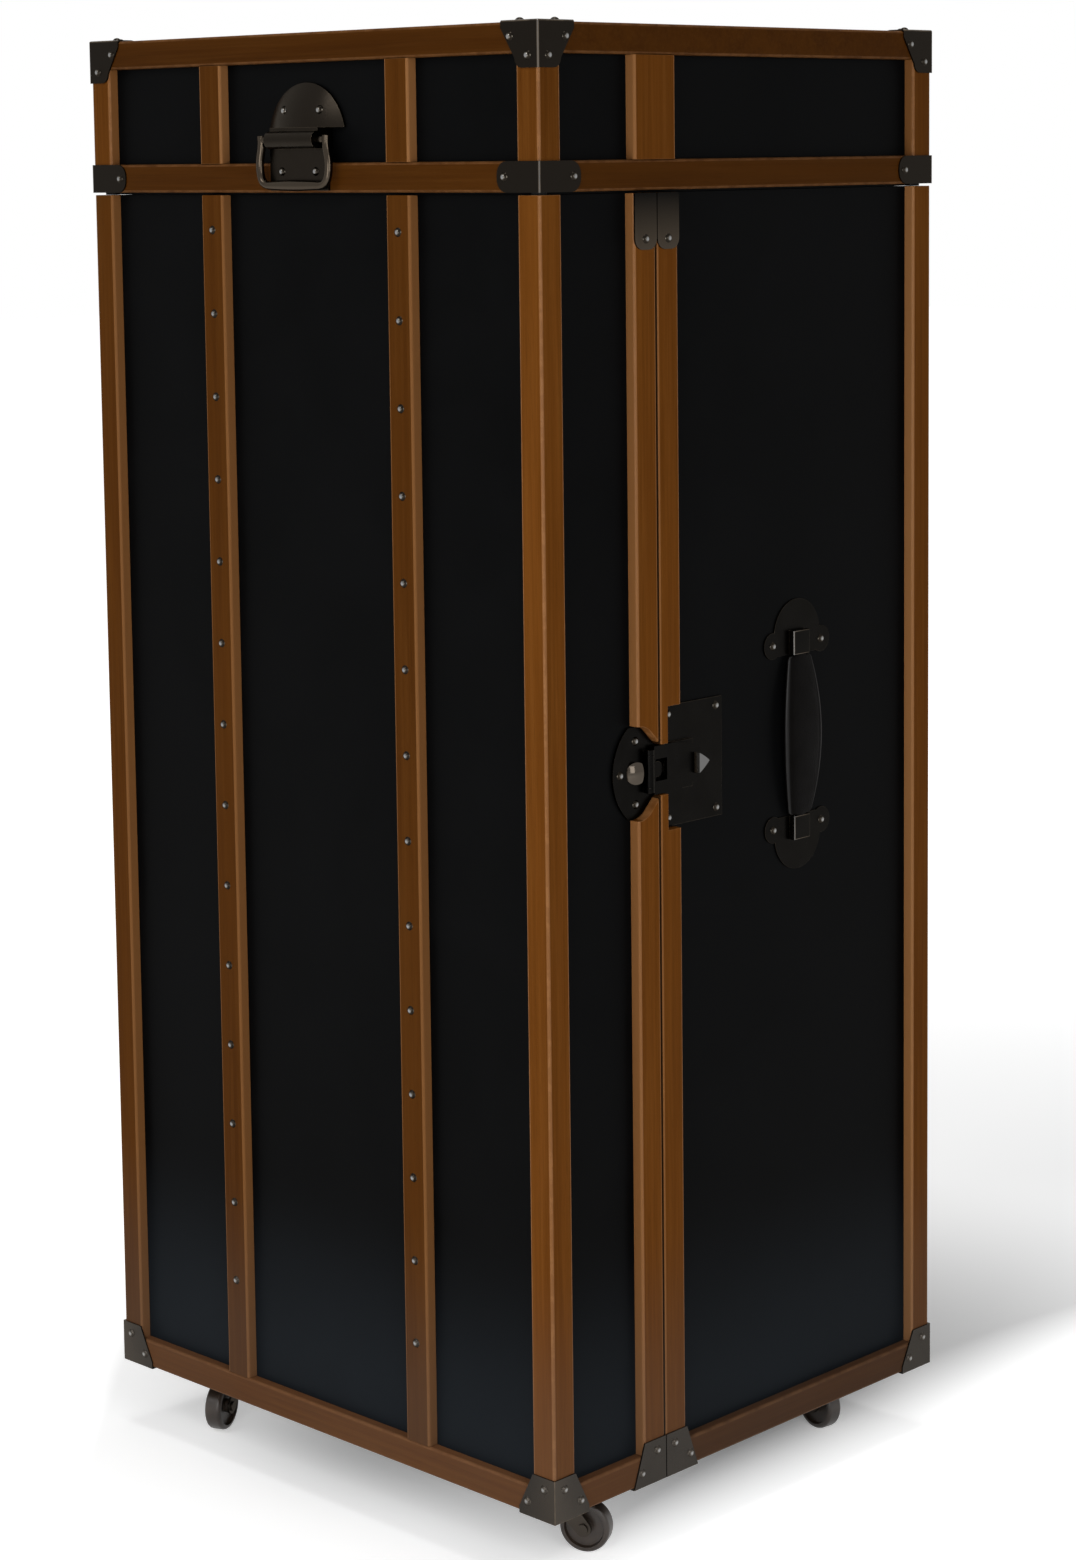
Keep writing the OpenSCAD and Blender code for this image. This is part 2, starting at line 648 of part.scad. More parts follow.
// Leaf: stamped metal and nails
module leaf_brackets() color(metal) {
    for (s = [-1, 1]) corner(s, -1) translate([0, 0, z_box]) mirror([0, 0, 1]) corner_cap(foot_cap_r);
    both_sides() leaf_seam_right(z_box) seam_foot();
    both_sides() leaf_seam_right(z_rim) seam_strap();
}
module leaf_nails() color(nail_metal) {
    for (s = [-1, 1]) corner(s, -1) translate([0, 0, z_box]) mirror([0, 0, 1]) cap_nail_set();
    both_sides() leaf_seam_right(z_box) seam_foot_nails();
    both_sides() leaf_seam_right(z_rim) seam_strap_nail();
    slat_nail_rows(-half_d);
    on_hasp() for (spot = shield_nails) translate([spot[0], spot[1], shield_t]) nail();
}
shield_nails = [[-25, 30], [-46, 0], [-25, -30]];

// Leaf: hinges and inside
module leaf_hinge_plates() color(metal) at_door_hinges() hinge_half(door_hinge_l, -1, [1], run);
leaf_shelf_z = [floor_z + leaf_pitch, floor_z + 2 * leaf_pitch + board_t];
fence_t = 8;
fence_h = 45;
fence_set_back = 4;
y_fence = y_leaf - fence_set_back - fence_t;
module leaf_shelves() color(wood) for (z = leaf_shelf_z)
    block([-inner_x, -inner_y, z], [inner_x, y_fence, z + board_t]);
module leaf_shelf_fences() color(wood) for (z = leaf_shelf_z)
    block([-inner_x, y_fence, z], [inner_x, y_fence + fence_t, z + fence_h]);

// Lid: boards
lid_board_z = z_top - strip_t - board_t;
module lid_top_board() color(black)
    block([-panel_x, -panel_y, lid_board_z], [panel_x, panel_y, z_top - strip_t]);
module lid_end_boards() color(black) for (m = [0, 1]) mirror([0, m, 0])
    block([-panel_x, -panel_y, z_lid], [panel_x, -inner_y, lid_board_z]);
module lid_side_boards() color(black) both_sides()
    block([inner_x, -inner_y, z_lid], [panel_x, inner_y, lid_board_z]);

// Lid: wood strips
module lid_corner_posts() color(wood) for (sx = [-1, 1], sy = [-1, 1]) corner(sx, sy) {
    translate([0, 0, z_lid]) angle_strip(post_w, lid_h);
    block([strip_t, strip_t, z_top - strip_t], [post_w, post_w, z_top]);
}
module lid_top_rails() color(wood) {
    for (m = [0, 1]) mirror([0, m, 0]) translate([post_w - half_w, -half_d, z_top])
        rotate([90, 0, 90]) rotate([0, 0, -90]) angle_strip(rail_h, trunk_w - 2 * post_w);
    both_sides() translate([half_w, half_d - post_w, z_top])
        rotate([90, 0, 0]) rotate([0, 0, 180]) angle_strip(rail_h, trunk_d - 2 * post_w);
}
module lid_base_rails() color(wood) {
    for (m = [0, 1]) mirror([0, m, 0]) front_rail(post_w - half_w, half_w - post_w, z_lid);
    both_sides() right_rail(post_w - half_d, half_d - post_w, z_lid);
}
module lid_slats() color(wood) {
    for (m = [0, 1], s = [-1, 1]) mirror([0, m, 0])
        front_strip(s * slat_x, slat_w, z_lid + rail_h, z_top - rail_h);
    for (s = [-1, 1]) translate([s * slat_x, half_d - rail_h, z_top - strip_t])
        rotate([90, 0, 0]) strip(slat_w, trunk_d - 2 * rail_h);
    both_sides() right_strip(y_seam, band_w, z_lid + rail_h, z_top - rail_h);
}

// Lid: stamped metal and nails
module corner_wrap() both_legs() rotate([90, 0, 0]) linear_extrude(sheet_t)
    polygon(concat([[-sheet_t, 0]], arc(wrap_w - wrap_r, wrap_r, wrap_r, 270, 360, 6),
        arc(wrap_w - wrap_r, rail_h - wrap_r, wrap_r, 0, 90, 6), [[-sheet_t, rail_h]]));
wrap_r = 12;
wrap_nail = 9;
module lid_brackets() color(metal) for (sx = [-1, 1], sy = [-1, 1]) corner(sx, sy) {
    translate([0, 0, z_top]) corner_cap(cap_foot_r);
    translate([0, 0, z_lid]) corner_wrap();
}
module lid_nails() color(nail_metal) {
    for (sx = [-1, 1], sy = [-1, 1]) corner(sx, sy) {
        translate([0, 0, z_top]) cap_nail_set();
        both_legs() facing_front(wrap_w - wrap_nail, -sheet_t, z_lid + rail_h / 2) nail();
    }
    on_bail() for (s = [-1, 1]) {
        translate([0, 0, board_out + dome_crown - dome_sphere]) rotate([0, 0, 90 + s * dome_nail_turn])
            rotate([0, asin(dome_nail_r / dome_sphere), 0]) translate([0, 0, dome_sphere]) nail();
        translate([s * tab_nail[0], tab_nail[1], tab_t - bail_out]) nail();
    }
}
module lid_hinge_plates() color(metal) at_lid_hinges()
    hinge_half(lid_hinge_l, 1, [1], run) tail_2d(1);

// Lid handle, drawn flat with its origin on the bail's pivot and +Z standing out of the lid
bail_out = 9;
module on_bail() facing_front(0, -half_d - bail_out, z_lid + bail_z) children();
tab_t = 3;
tab_w = 41;
tab_low = bail_z - 2;
tab_scoop_r = 60;
tab_scoop = 6;
tab_lap = 0.5;
barrel_r = 8.5;
bail_pin_r = 3.4;
bail_pin_l = 14;
dome_low = barrel_r + 3;
dome_edge = 3;
dome_crown = 15;
dome_nail_r = 38;
dome_nail_turn = 42;
tab_nail = [24, -30];
board_out = -bail_out - strip_t;
dome_sphere = (dome_r * dome_r + pow(dome_crown - dome_edge, 2)) / (2 * (dome_crown - dome_edge));
module lid_handle_plate() color(metal) on_bail() {
    intersection() {
        translate([0, 0, board_out]) linear_extrude(dome_crown) difference() {
            circle(dome_r, $fn = 96);
            translate([-far, dome_low - 2 * far]) square(2 * far);
        }
        translate([0, 0, board_out + dome_crown - dome_sphere]) sphere(dome_sphere, $fn = 180);
    }
    difference() {
        union() {
            translate([-barrel_l, 0, 0]) rotate([0, 90, 0]) cylinder(r = barrel_r, h = 2 * barrel_l);
            block([-barrel_l, -barrel_r, board_out], [barrel_l, dome_low, 0]);
        }
        for (s = [0, 1]) mirror([s, 0, 0]) translate([barrel_l - bail_pin_l, 0, 0]) rotate([0, 90, 0])
            cylinder(r = bail_pin_r + run, h = bail_pin_l + 1);
    }
    translate([0, 0, -bail_out]) linear_extrude(tab_t) difference() {
        translate([-tab_w, -tab_low]) square([2 * tab_w, tab_low - barrel_r + tab_lap]);
        translate([0, tab_scoop - tab_low - tab_scoop_r]) circle(tab_scoop_r, $fn = 96);
    }
}
// Drop bail: arms that bulge round the tab, and a bar that is thicker in the middle
bail_bulge = 3;
bail_swell = 1.3;
module bail_handle() color(metal) on_bail() {
    arm = bail_w / 2;
    out = arm + bail_bulge;
    shoulder = [out, -bail_drop * 0.55];
    foot = [arm - 3 * bail_bulge, -bail_drop];
    arm_curve = [[arm, bail_r], [arm - bail_bulge / 2, -bail_drop / 4], [out, -bail_drop * 0.3], shoulder];
    turn_curve = [shoulder, [out, -bail_drop * 0.8], [arm, -bail_drop], foot];
    down = [for (i = [0:6]) bezier(arm_curve, i / 6)];
    turn = [for (i = [1:6]) bezier(turn_curve, i / 6)];
    bar = [for (i = [1:5]) [foot[0] * (1 - i / 5), -bail_drop]];
    right = concat(down, turn, bar);
    last = len(right) - 1;
    path = concat(right, [for (i = [1:last]) [-right[last - i][0], right[last - i][1]]]);
    radii = [for (p = path) let (on_bar = p[1] < 1 - bail_drop)
        bail_r + (on_bar ? bail_swell * (1 - pow(p[0] / foot[0], 2)) : 0)];
    rotate([-90, 0, 0]) swept_bar(path, radii);
    for (s = [0, 1]) mirror([s, 0, 0]) translate([barrel_l - bail_pin_l + 1, 0, 0]) rotate([0, 90, 0])
        cylinder(r = bail_pin_r, h = arm - barrel_l + bail_pin_l - 1);
}

// Rubber buffers under the lid's corners
buffer_d = 14;
buffer_in = strip_t + 2;
module lid_buffers() color(tyre) for (sx = [-1, 1], sy = [-1, 1]) corner(sx, sy)
    translate([buffer_in, buffer_in, z_rim + clear]) cylinder(d = buffer_d, h = lid_gap - clear);

// Castors: each drawn about its swivel axis, with its wheel trailing along +X
castors = [[front_castor_x, castor_y - half_d, 26], [-front_castor_x, castor_y - half_d, -66],
    [rear_castor_x, half_d - castor_y, 172], [-rear_castor_x, half_d - castor_y, 40]];
module castor(i) translate([castors[i][0], castors[i][1], 0]) children();
module turned(i) castor(i) rotate([0, 0, castors[i][2]]) children();
plate_half = 29;
plate_t = 2.5;
axle_r = 3;
axle_head_r = 5;
leg_t = 2.5;
side_play = 1;
king_r = 5;
king_head_r = 8;
leg_in = wheel_w / 2 + side_play;
leg_out = leg_in + leg_t;
crown_z = wheel_d + 3;
crown_t = 3.5;
cup_r = 18;
module castor_plate() {
    block([-plate_half, -plate_half, z_box - plate_t], [plate_half, plate_half, z_box]);
    translate([0, 0, crown_z + crown_t + clear])
        cylinder(r = cup_r, h = z_box - plate_t - crown_z - crown_t - clear);
    translate([0, 0, crown_z - clear]) cylinder(r = king_r, h = crown_t + 1);
    translate([0, 0, crown_z - clear - head_t]) cylinder(r = king_head_r, h = head_t);
}
module front_castor_plates() color(metal) for (i = [0, 1]) castor(i) castor_plate();
module rear_castor_plates() color(metal) for (i = [2, 3]) castor(i) castor_plate();
// Fork with its riveted axle
eye_r = 8;
leg_half = 7;
crown_x = [-13, 15];
module fork() {
    difference() {
        union() {
            block([crown_x[0], -leg_out, crown_z], [crown_x[1], leg_out, crown_z + crown_t]);
            for (y = [leg_in, -leg_out]) translate([0, y + leg_t, 0]) rotate([90, 0, 0])
                linear_extrude(leg_t) fork_leg_2d();
        }
        translate([0, 0, crown_z - 1]) cylinder(r = king_r + run, h = crown_t + 2);
    }
    translate([trail, 0, wheel_d / 2]) rotate([90, 0, 0]) {
        translate([0, 0, -leg_out]) cylinder(r = axle_r, h = 2 * leg_out);
        for (z = [-leg_out - head_t, leg_out]) translate([0, 0, z]) cylinder(r = axle_head_r, h = head_t);
    }
}
module fork_leg_2d() {
    top = crown_z + crown_t;
    axle_z = wheel_d / 2;
    polygon([[crown_x[0], top], [crown_x[1], top], [trail + leg_half, axle_z + eye_r / 2],
        [trail - leg_half, axle_z - eye_r / 2]]);
    translate([trail, axle_z]) circle(eye_r);
}
hub_t = 4;
dish = 4;
tread_r = 4;
// Wheel with a crowned tread, a dished web and a hub
module wheel()
    translate([trail, 0, wheel_d / 2]) rotate([90, 0, 0]) rotate_extrude($fn = 72) {
        r = wheel_d / 2;
        w = wheel_w / 2;
        bore = axle_r + run;
        hub = bore + hub_t;
        web = w - dish;
        boss = w + side_play / 2;
        rim = r - tread_r - 1;
        polygon(concat([[bore, -boss], [hub, -boss], [hub, -web], [rim - 1, -web], [rim, -w]],
            arc(r - tread_r, tread_r - w, tread_r, -90, 0), arc(r - tread_r, w - tread_r, tread_r, 0, 90),
            [[rim, w], [rim - 1, web], [hub, web], [hub, boss], [bore, boss]]));
    }
module front_right_fork() color(metal) turned(0) fork();
module front_left_fork() color(metal) turned(1) fork();
module rear_right_fork() color(metal) turned(2) fork();
module rear_left_fork() color(metal) turned(3) fork();
module front_right_wheel() color(tyre) turned(0) wheel();
module front_left_wheel() color(tyre) turned(1) wheel();
module rear_right_wheel() color(tyre) turned(2) wheel();
module rear_left_wheel() color(tyre) turned(3) wheel();

cabinet_bottom_board();
cabinet_top_board();
cabinet_back_board();
cabinet_side_boards();
cabinet_corner_posts();
cabinet_bottom_rails();
cabinet_back_slats();
cabinet_seam_battens();
cabinet_brackets();
cabinet_nails();
lock_plate();
handle_end_plates();
right_handle_grip();
left_handle_grip();
cabinet_hinge_plates();
lid_stop_hinge_plates();
hinge_pins();
clothes_rail();
rail_sockets();
shoe_shelf();
shelf_cleats();
rear_castor_plates();
leaf_front_board();
leaf_bottom_board();
leaf_top_board();
leaf_side_boards();
leaf_corner_posts();
leaf_bottom_rails();
leaf_front_slats();
leaf_seam_battens();
leaf_brackets();
leaf_nails();
leaf_hinge_plates();
leaf_shelves();
leaf_shelf_fences();
hasp_plate();
hasp_pin();
front_castor_plates();
hasp();
lid_top_board();
lid_end_boards();
lid_side_boards();
lid_corner_posts();
lid_top_rails();
lid_base_rails();
lid_slats();
lid_brackets();
lid_nails();
lid_hinge_plates();
lid_handle_plate();
lid_buffers();
bail_handle();
front_right_fork();
front_left_fork();
rear_right_fork();
rear_left_fork();
front_right_wheel();
front_left_wheel();
rear_right_wheel();
rear_left_wheel();
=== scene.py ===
# An upright steamer trunk on castors: black boards, brown wood strips, dark metal fittings.
# Each CAD piece gets a copy with eased edges and a finish, and the leather grips are made anew.
# Front is -Y, up is +Z, the floor is z = 0, and all lengths are in metres.
import json
import math
import random

import bmesh
import bpy
from mathutils import Matrix, Vector


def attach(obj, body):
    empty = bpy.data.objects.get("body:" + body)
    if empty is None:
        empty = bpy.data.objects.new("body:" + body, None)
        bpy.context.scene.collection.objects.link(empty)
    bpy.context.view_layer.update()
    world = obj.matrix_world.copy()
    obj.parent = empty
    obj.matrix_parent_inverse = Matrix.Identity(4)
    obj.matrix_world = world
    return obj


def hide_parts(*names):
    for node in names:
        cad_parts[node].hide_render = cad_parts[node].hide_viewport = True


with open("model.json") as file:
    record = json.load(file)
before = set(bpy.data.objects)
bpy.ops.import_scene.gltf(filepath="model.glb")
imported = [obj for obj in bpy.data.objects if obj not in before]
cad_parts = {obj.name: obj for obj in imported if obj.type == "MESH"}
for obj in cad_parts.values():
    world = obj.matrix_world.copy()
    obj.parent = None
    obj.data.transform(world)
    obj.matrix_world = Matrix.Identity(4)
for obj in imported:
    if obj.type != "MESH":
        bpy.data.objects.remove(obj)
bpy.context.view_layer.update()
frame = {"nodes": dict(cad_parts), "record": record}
SLOT_OF = {part["node"]: part["material_slot"] for part in frame["record"]["subparts"]}
BODY_OF = {node: body for body, nodes in frame["record"]["behaviour"]["bodies"].items() for node in nodes}
MM = 0.001


# Places that the CAD pieces give

def box_round(points):
    """The lowest and the highest corner of a box round these points."""
    points = list(points)
    return [Vector(pick(point[axis] for point in points) for axis in range(3)) for pick in (min, max)]


def box_of(node):
    """The lowest and the highest corner of a CAD node."""
    return box_round(vert.co for vert in frame["nodes"][node].data.vertices)


LID_LOW, LID_HIGH = box_of("lid_end_boards")
BOTTOM_LOW, BOTTOM_HIGH = box_of("cabinet_bottom_board")
HASP_LOW, HASP_HIGH = box_of("hasp")
GRIP_LOW, GRIP_HIGH = box_of("right_handle_grip")
BOARD_X = LID_HIGH.x
BOARD_Y = LID_HIGH.y
BOARD_THICK = BOTTOM_HIGH.z - BOTTOM_LOW.z
SEAM_Y = (box_of("leaf_seam_battens")[1].y + box_of("cabinet_seam_battens")[0].y) / 2
HASP_Z = (HASP_LOW.z + HASP_HIGH.z) / 2
GRIP_MIDDLE = Vector((BOARD_X, (GRIP_LOW.y + GRIP_HIGH.y) / 2, (GRIP_LOW.z + GRIP_HIGH.z) / 2))


# Shader nodes

# Places of the colour sockets on a mix node
COLOUR_A = 6
COLOUR_B = 7
COLOUR_MIXED = 2


def put(tree, socket, value):
    """Links another node's socket to this one, or sets its value."""
    if isinstance(value, bpy.types.NodeSocket):
        tree.links.new(value, socket)
    else:
        socket.default_value = value


def add(tree, kind, inputs=None, **settings):
    """A node of this kind, with its settings, and inputs that are values or other nodes' sockets."""
    node = tree.nodes.new(kind)
    for name, value in settings.items():
        setattr(node, name, value)
    for key, value in (inputs or {}).items():
        put(tree, node.inputs[key], value)
    return node


def math_node(tree, operation, first, second=0.0, clamp=False):
    """A sum, difference or other step between two values."""
    node = add(tree, "ShaderNodeMath", {0: first, 1: second}, operation=operation, use_clamp=clamp)
    return node.outputs[0]


def times(tree, first, second):
    """The product of two values."""
    return math_node(tree, "MULTIPLY", first, second)


def axes_of(tree, coord):
    """The three parts of a place."""
    return add(tree, "ShaderNodeSeparateXYZ", {0: coord}).outputs


def mix_colour(tree, share, first, second):
    """Two colours mixed by a share."""
    inputs = {"Factor": share, COLOUR_A: first, COLOUR_B: second}
    return add(tree, "ShaderNodeMix", inputs, data_type="RGBA").outputs[COLOUR_MIXED]


def spread(tree, value, low, high, new_low=0.0, new_high=1.0, **settings):
    """A value taken from one range to another, and held there."""
    inputs = {"Value": value, "From Min": low, "From Max": high, "To Min": new_low, "To Max": new_high}
    return add(tree, "ShaderNodeMapRange", inputs, **settings).outputs[0]


def ramp(tree, value, span, low=0.0, high=1.0):
    """A smooth change from low to high as the value crosses the span."""
    return spread(tree, value, *span, low, high, interpolation_type="SMOOTHSTEP")


def noise(tree, coord, scale, detail=3.0, roughness=0.5, distortion=0.0):
    """Cloudy noise at these coordinates."""
    inputs = {"Vector": coord, "Scale": scale, "Detail": detail, "Roughness": roughness,
              "Distortion": distortion}
    return add(tree, "ShaderNodeTexNoise", inputs).outputs["Fac"]


def drawn_noise(tree, coord, along, scale, **settings):
    """Noise whose marks are drawn out along the third coordinate."""
    mapped = add(tree, "ShaderNodeMapping", {"Vector": coord, "Scale": (1, 1, along)}).outputs[0]
    return noise(tree, mapped, scale, **settings)


def new_group(name, inputs, outputs):
    """An empty shader group with named sockets: its tree, what it is given and its end."""
    tree = bpy.data.node_groups.new(name, "ShaderNodeTree")
    kinds = {"value": "NodeSocketFloat", "colour": "NodeSocketColor", "vector": "NodeSocketVector"}
    for sockets, way in ((inputs, "INPUT"), (outputs, "OUTPUT")):
        for socket, kind in sockets.items():
            tree.interface.new_socket(name=socket, in_out=way, socket_type=kinds[kind])
    return tree, tree.nodes.new("NodeGroupInput").outputs, tree.nodes.new("NodeGroupOutput").inputs


def finish_group(tree, end, **values):
    """Feeds a group's outputs."""
    for socket, value in values.items():
        tree.links.new(value, end[socket])
    return tree


# Effects that the finishes use

PORE_DARK = (0.010, 0.005, 0.002, 1)
PORE_DEPTH = 0.6
STREAK_RISE = 0.4
SPECK_FINENESS = 26.0
PEBBLE_WARP = 4 * MM
PEBBLE_CREASE = 0.22
# Heights where the foot's dust and painted floor reflection start, and where they are full
DUST_SHEEN_TOP = 330 * MM
DUST_SHEEN_FULL = 110 * MM
LINING_LAP = 0.4 * MM
RIM_REACH = 0.1 * MM
INNER_X = BOARD_X - BOARD_THICK + LINING_LAP
INNER_Y = BOARD_Y - BOARD_THICK + LINING_LAP
INSIDE_LOW = BOTTOM_HIGH.z - LINING_LAP
CEILING = box_of("cabinet_top_board")[0].z + LINING_LAP
LID_RIM = LID_LOW.z - RIM_REACH
LID_CEILING = LID_HIGH.z + LINING_LAP


def grain_group():
    """Streaks and pores of a plain brown wood, drawn out along the third coordinate."""
    inputs = {"Coord": "vector", "Dark": "colour", "Middle": "colour", "Light": "colour", "Tone": "value"}
    outputs = {"Colour": "colour", "Gloss": "value", "Height": "value"}
    tree, given, end = new_group("wood_grain", inputs, outputs)
    coord = given["Coord"]
    wide = drawn_noise(tree, coord, along=0.05, scale=55.0, detail=4.0, roughness=0.55, distortion=0.6)
    streak = drawn_noise(tree, coord, along=0.02, scale=260.0, detail=5.0, roughness=0.6, distortion=0.3)
    pores = drawn_noise(tree, coord, along=0.025, scale=1500.0, detail=2.0, roughness=0.6)
    clouds = drawn_noise(tree, coord, along=0.35, scale=9.0, detail=2.0)
    figured = mix_colour(tree, spread(tree, wide, 0.32, 0.68), given["Dark"], given["Middle"])
    streaked = mix_colour(tree, spread(tree, streak, 0.42, 0.75, 0.0, 0.75), figured, given["Light"])
    clouded = mix_colour(tree, spread(tree, clouds, 0.3, 0.75, 0.0, 0.35), streaked, given["Dark"])
    pore_mask = spread(tree, pores, 0.60, 0.72, 0.0, 0.40)
    pored = mix_colour(tree, pore_mask, clouded, mix_colour(tree, PORE_DEPTH, clouded, PORE_DARK))
    toned = add(tree, "ShaderNodeHueSaturation", {"Color": pored, "Value": given["Tone"]}).outputs[0]
    height = math_node(tree, "SUBTRACT", times(tree, streak, STREAK_RISE), pore_mask)
    return finish_group(tree, end, Colour=toned, Gloss=spread(tree, wide, 0.3, 0.7), Height=height)


def wear_and_highlight_group():
    """Where an eased edge is rubbed and, on wood and metal, given a painted highlight: broken up, so that it
    fades in and out along the edge.
    """
    inputs = {"Coord": "vector", "Edge": "value", "Scale": "value"}
    tree, given, end = new_group("edge_wear_and_highlight", inputs, {"Mask": "value"})
    patches = noise(tree, given["Coord"], given["Scale"], detail=4.0, roughness=0.6)
    broken = spread(tree, patches, 0.36, 0.58, 0.25, 1.0)
    return finish_group(tree, end, Mask=math_node(tree, "MULTIPLY", broken, given["Edge"], clamp=True))


def handling_group():
    """Soft clouds and fine specks that vary the gloss of a handled surface."""
    inputs = {"Coord": "vector", "Scale": "value"}
    tree, given, end = new_group("handling", inputs, {"Clouds": "value", "Specks": "value"})
    soft = noise(tree, given["Coord"], given["Scale"], detail=5.0, roughness=0.6, distortion=0.4)
    fine = noise(tree, given["Coord"], times(tree, given["Scale"], SPECK_FINENESS), detail=2.0)
    return finish_group(tree, end, Clouds=spread(tree, soft, 0.3, 0.7), Specks=spread(tree, fine, 0.35, 0.65))


def weave_group():
    """A plain weave: threads over and under each other along two axes of the coordinates."""
    inputs = {"Coord": "vector", "Threads": "value"}
    tree, given, end = new_group("plain_weave", inputs, {"Height": "value", "Slub": "value"})
    axes = axes_of(tree, given["Coord"])
    waves = []
    for line in (math_node(tree, "ADD", axes["X"], axes["Y"]), axes["Z"]):
        turn = times(tree, times(tree, line, given["Threads"]), math.tau)
        waves.append(math_node(tree, "SINE", turn))
    slub = drawn_noise(tree, given["Coord"], along=0.15, scale=160.0)
    return finish_group(tree, end, Height=times(tree, *waves), Slub=slub)


def inside_group():
    """One on the boards' faces that look into the trunk, and nothing on their outsides and rims."""
    tree, given, end = new_group("inside_of_boards", {"Coord": "vector"}, {"Mask": "value"})
    axes = axes_of(tree, given["Coord"])
    tests = [math_node(tree, "LESS_THAN", math_node(tree, "ABSOLUTE", axes["X"]), INNER_X),
             math_node(tree, "LESS_THAN", math_node(tree, "ABSOLUTE", axes["Y"]), INNER_Y),
             math_node(tree, "GREATER_THAN", axes["Z"], INSIDE_LOW),
             math_node(tree, "LESS_THAN", axes["Z"], LID_CEILING),
             math_node(tree, "ADD", math_node(tree, "LESS_THAN", axes["Z"], CEILING),
                       math_node(tree, "GREATER_THAN", axes["Z"], LID_RIM), clamp=True)]
    mask = tests[0]
    for test in tests[1:]:
        mask = times(tree, mask, test)
    return finish_group(tree, end, Mask=mask)


def pebble_group():
    """The pebbled grain of leather, with creases between the cells."""
    inputs = {"Coord": "vector", "Scale": "value"}
    tree, given, end = new_group("leather_pebble", inputs, {"Height": "value", "Crease": "value"})
    warp = add(tree, "ShaderNodeTexNoise", {"Vector": given["Coord"], "Scale": 220.0, "Detail": 2.0})
    push = add(tree, "ShaderNodeVectorMath", {0: warp.outputs["Color"], "Scale": PEBBLE_WARP},
               operation="SCALE")
    moved = add(tree, "ShaderNodeVectorMath", {0: given["Coord"], 1: push.outputs[0]}, operation="ADD")
    cells = add(tree, "ShaderNodeTexVoronoi", {"Vector": moved.outputs[0], "Scale": given["Scale"]},
                feature="DISTANCE_TO_EDGE")
    height = spread(tree, cells.outputs["Distance"], 0.0, PEBBLE_CREASE)
    return finish_group(tree, end, Height=height, Crease=math_node(tree, "SUBTRACT", 1.0, height))


def dust_and_sheen_group():
    """Fine floor dust and a painted reflection of the pale floor, both thinning out upwards from the trunk's
    foot.
    """
    tree, given, end = new_group("foot_dust_and_sheen", {"Coord": "vector"}, {"Mask": "value"})
    rise = ramp(tree, axes_of(tree, given["Coord"])["Z"], (DUST_SHEEN_TOP, DUST_SHEEN_FULL))
    patches = noise(tree, given["Coord"], scale=6.0, detail=4.0, roughness=0.6)
    return finish_group(tree, end, Mask=times(tree, rise, spread(tree, patches, 0.25, 0.75, 0.75, 1.0)))


GRAIN = grain_group()
WEAR_AND_HIGHLIGHT = wear_and_highlight_group()
HANDLING = handling_group()
DUST_AND_SHEEN = dust_and_sheen_group()
WEAVE = weave_group()
INSIDE = inside_group()
PEBBLE = pebble_group()


# Finishes

class Finish:
    """A material being made: its tree, its shader and the sources it reads."""

    def __init__(self, name, **plain):
        self.material = bpy.data.materials.new(name)
        self.material.use_nodes = True
        self.tree = self.material.node_tree
        self.shader = next(node for node in self.tree.nodes if node.type == "BSDF_PRINCIPLED")
        self.coord = add(self.tree, "ShaderNodeTexCoord").outputs["Object"]
        self.feed(**plain)

    def feed(self, **sockets):
        for socket, value in sockets.items():
            put(self.tree, self.shader.inputs[socket.replace("_", " ")], value)

    def attribute(self, name, output="Fac"):
        return add(self.tree, "ShaderNodeAttribute", attribute_name=name).outputs[output]

    def group(self, tree, **inputs):
        return add(self.tree, "ShaderNodeGroup", inputs, node_tree=tree).outputs

    def bump(self, height, strength, distance):
        inputs = {"Height": height, "Strength": strength, "Distance": distance}
        self.feed(Normal=add(self.tree, "ShaderNodeBump", inputs).outputs[0])

    # Dust near the foot, together with a painted reflection of the pale floor
    def foot_dust_and_sheen(self):
        return self.group(DUST_AND_SHEEN, Coord=self.coord)["Mask"]

    def handled(self, scale):
        return self.group(HANDLING, Coord=self.coord, Scale=scale)

    def worn_and_highlit(self, scale):
        return self.group(WEAR_AND_HIGHLIGHT, Coord=self.coord, Edge=self.attribute("eased"), Scale=scale)["Mask"]


# Colour of the painted shade in the seam between leaf and cabinet
JOINT_SHADE = (0.010, 0.0045, 0.0015, 1)
# Dust colour near the foot, which also paints a reflection of the pale floor, and its share
WOOD_DUST_SHEEN = (0.12, 0.10, 0.085, 1)
WOOD_DUST_SHEEN_SHARE = 0.27
WOOD_RUB_AND_HIGHLIGHT = 0.66
WOOD_LIT_SIDE = 0.48
WOOD_SHEEN = 0.14
WOOD_UNEVEN = 0.12


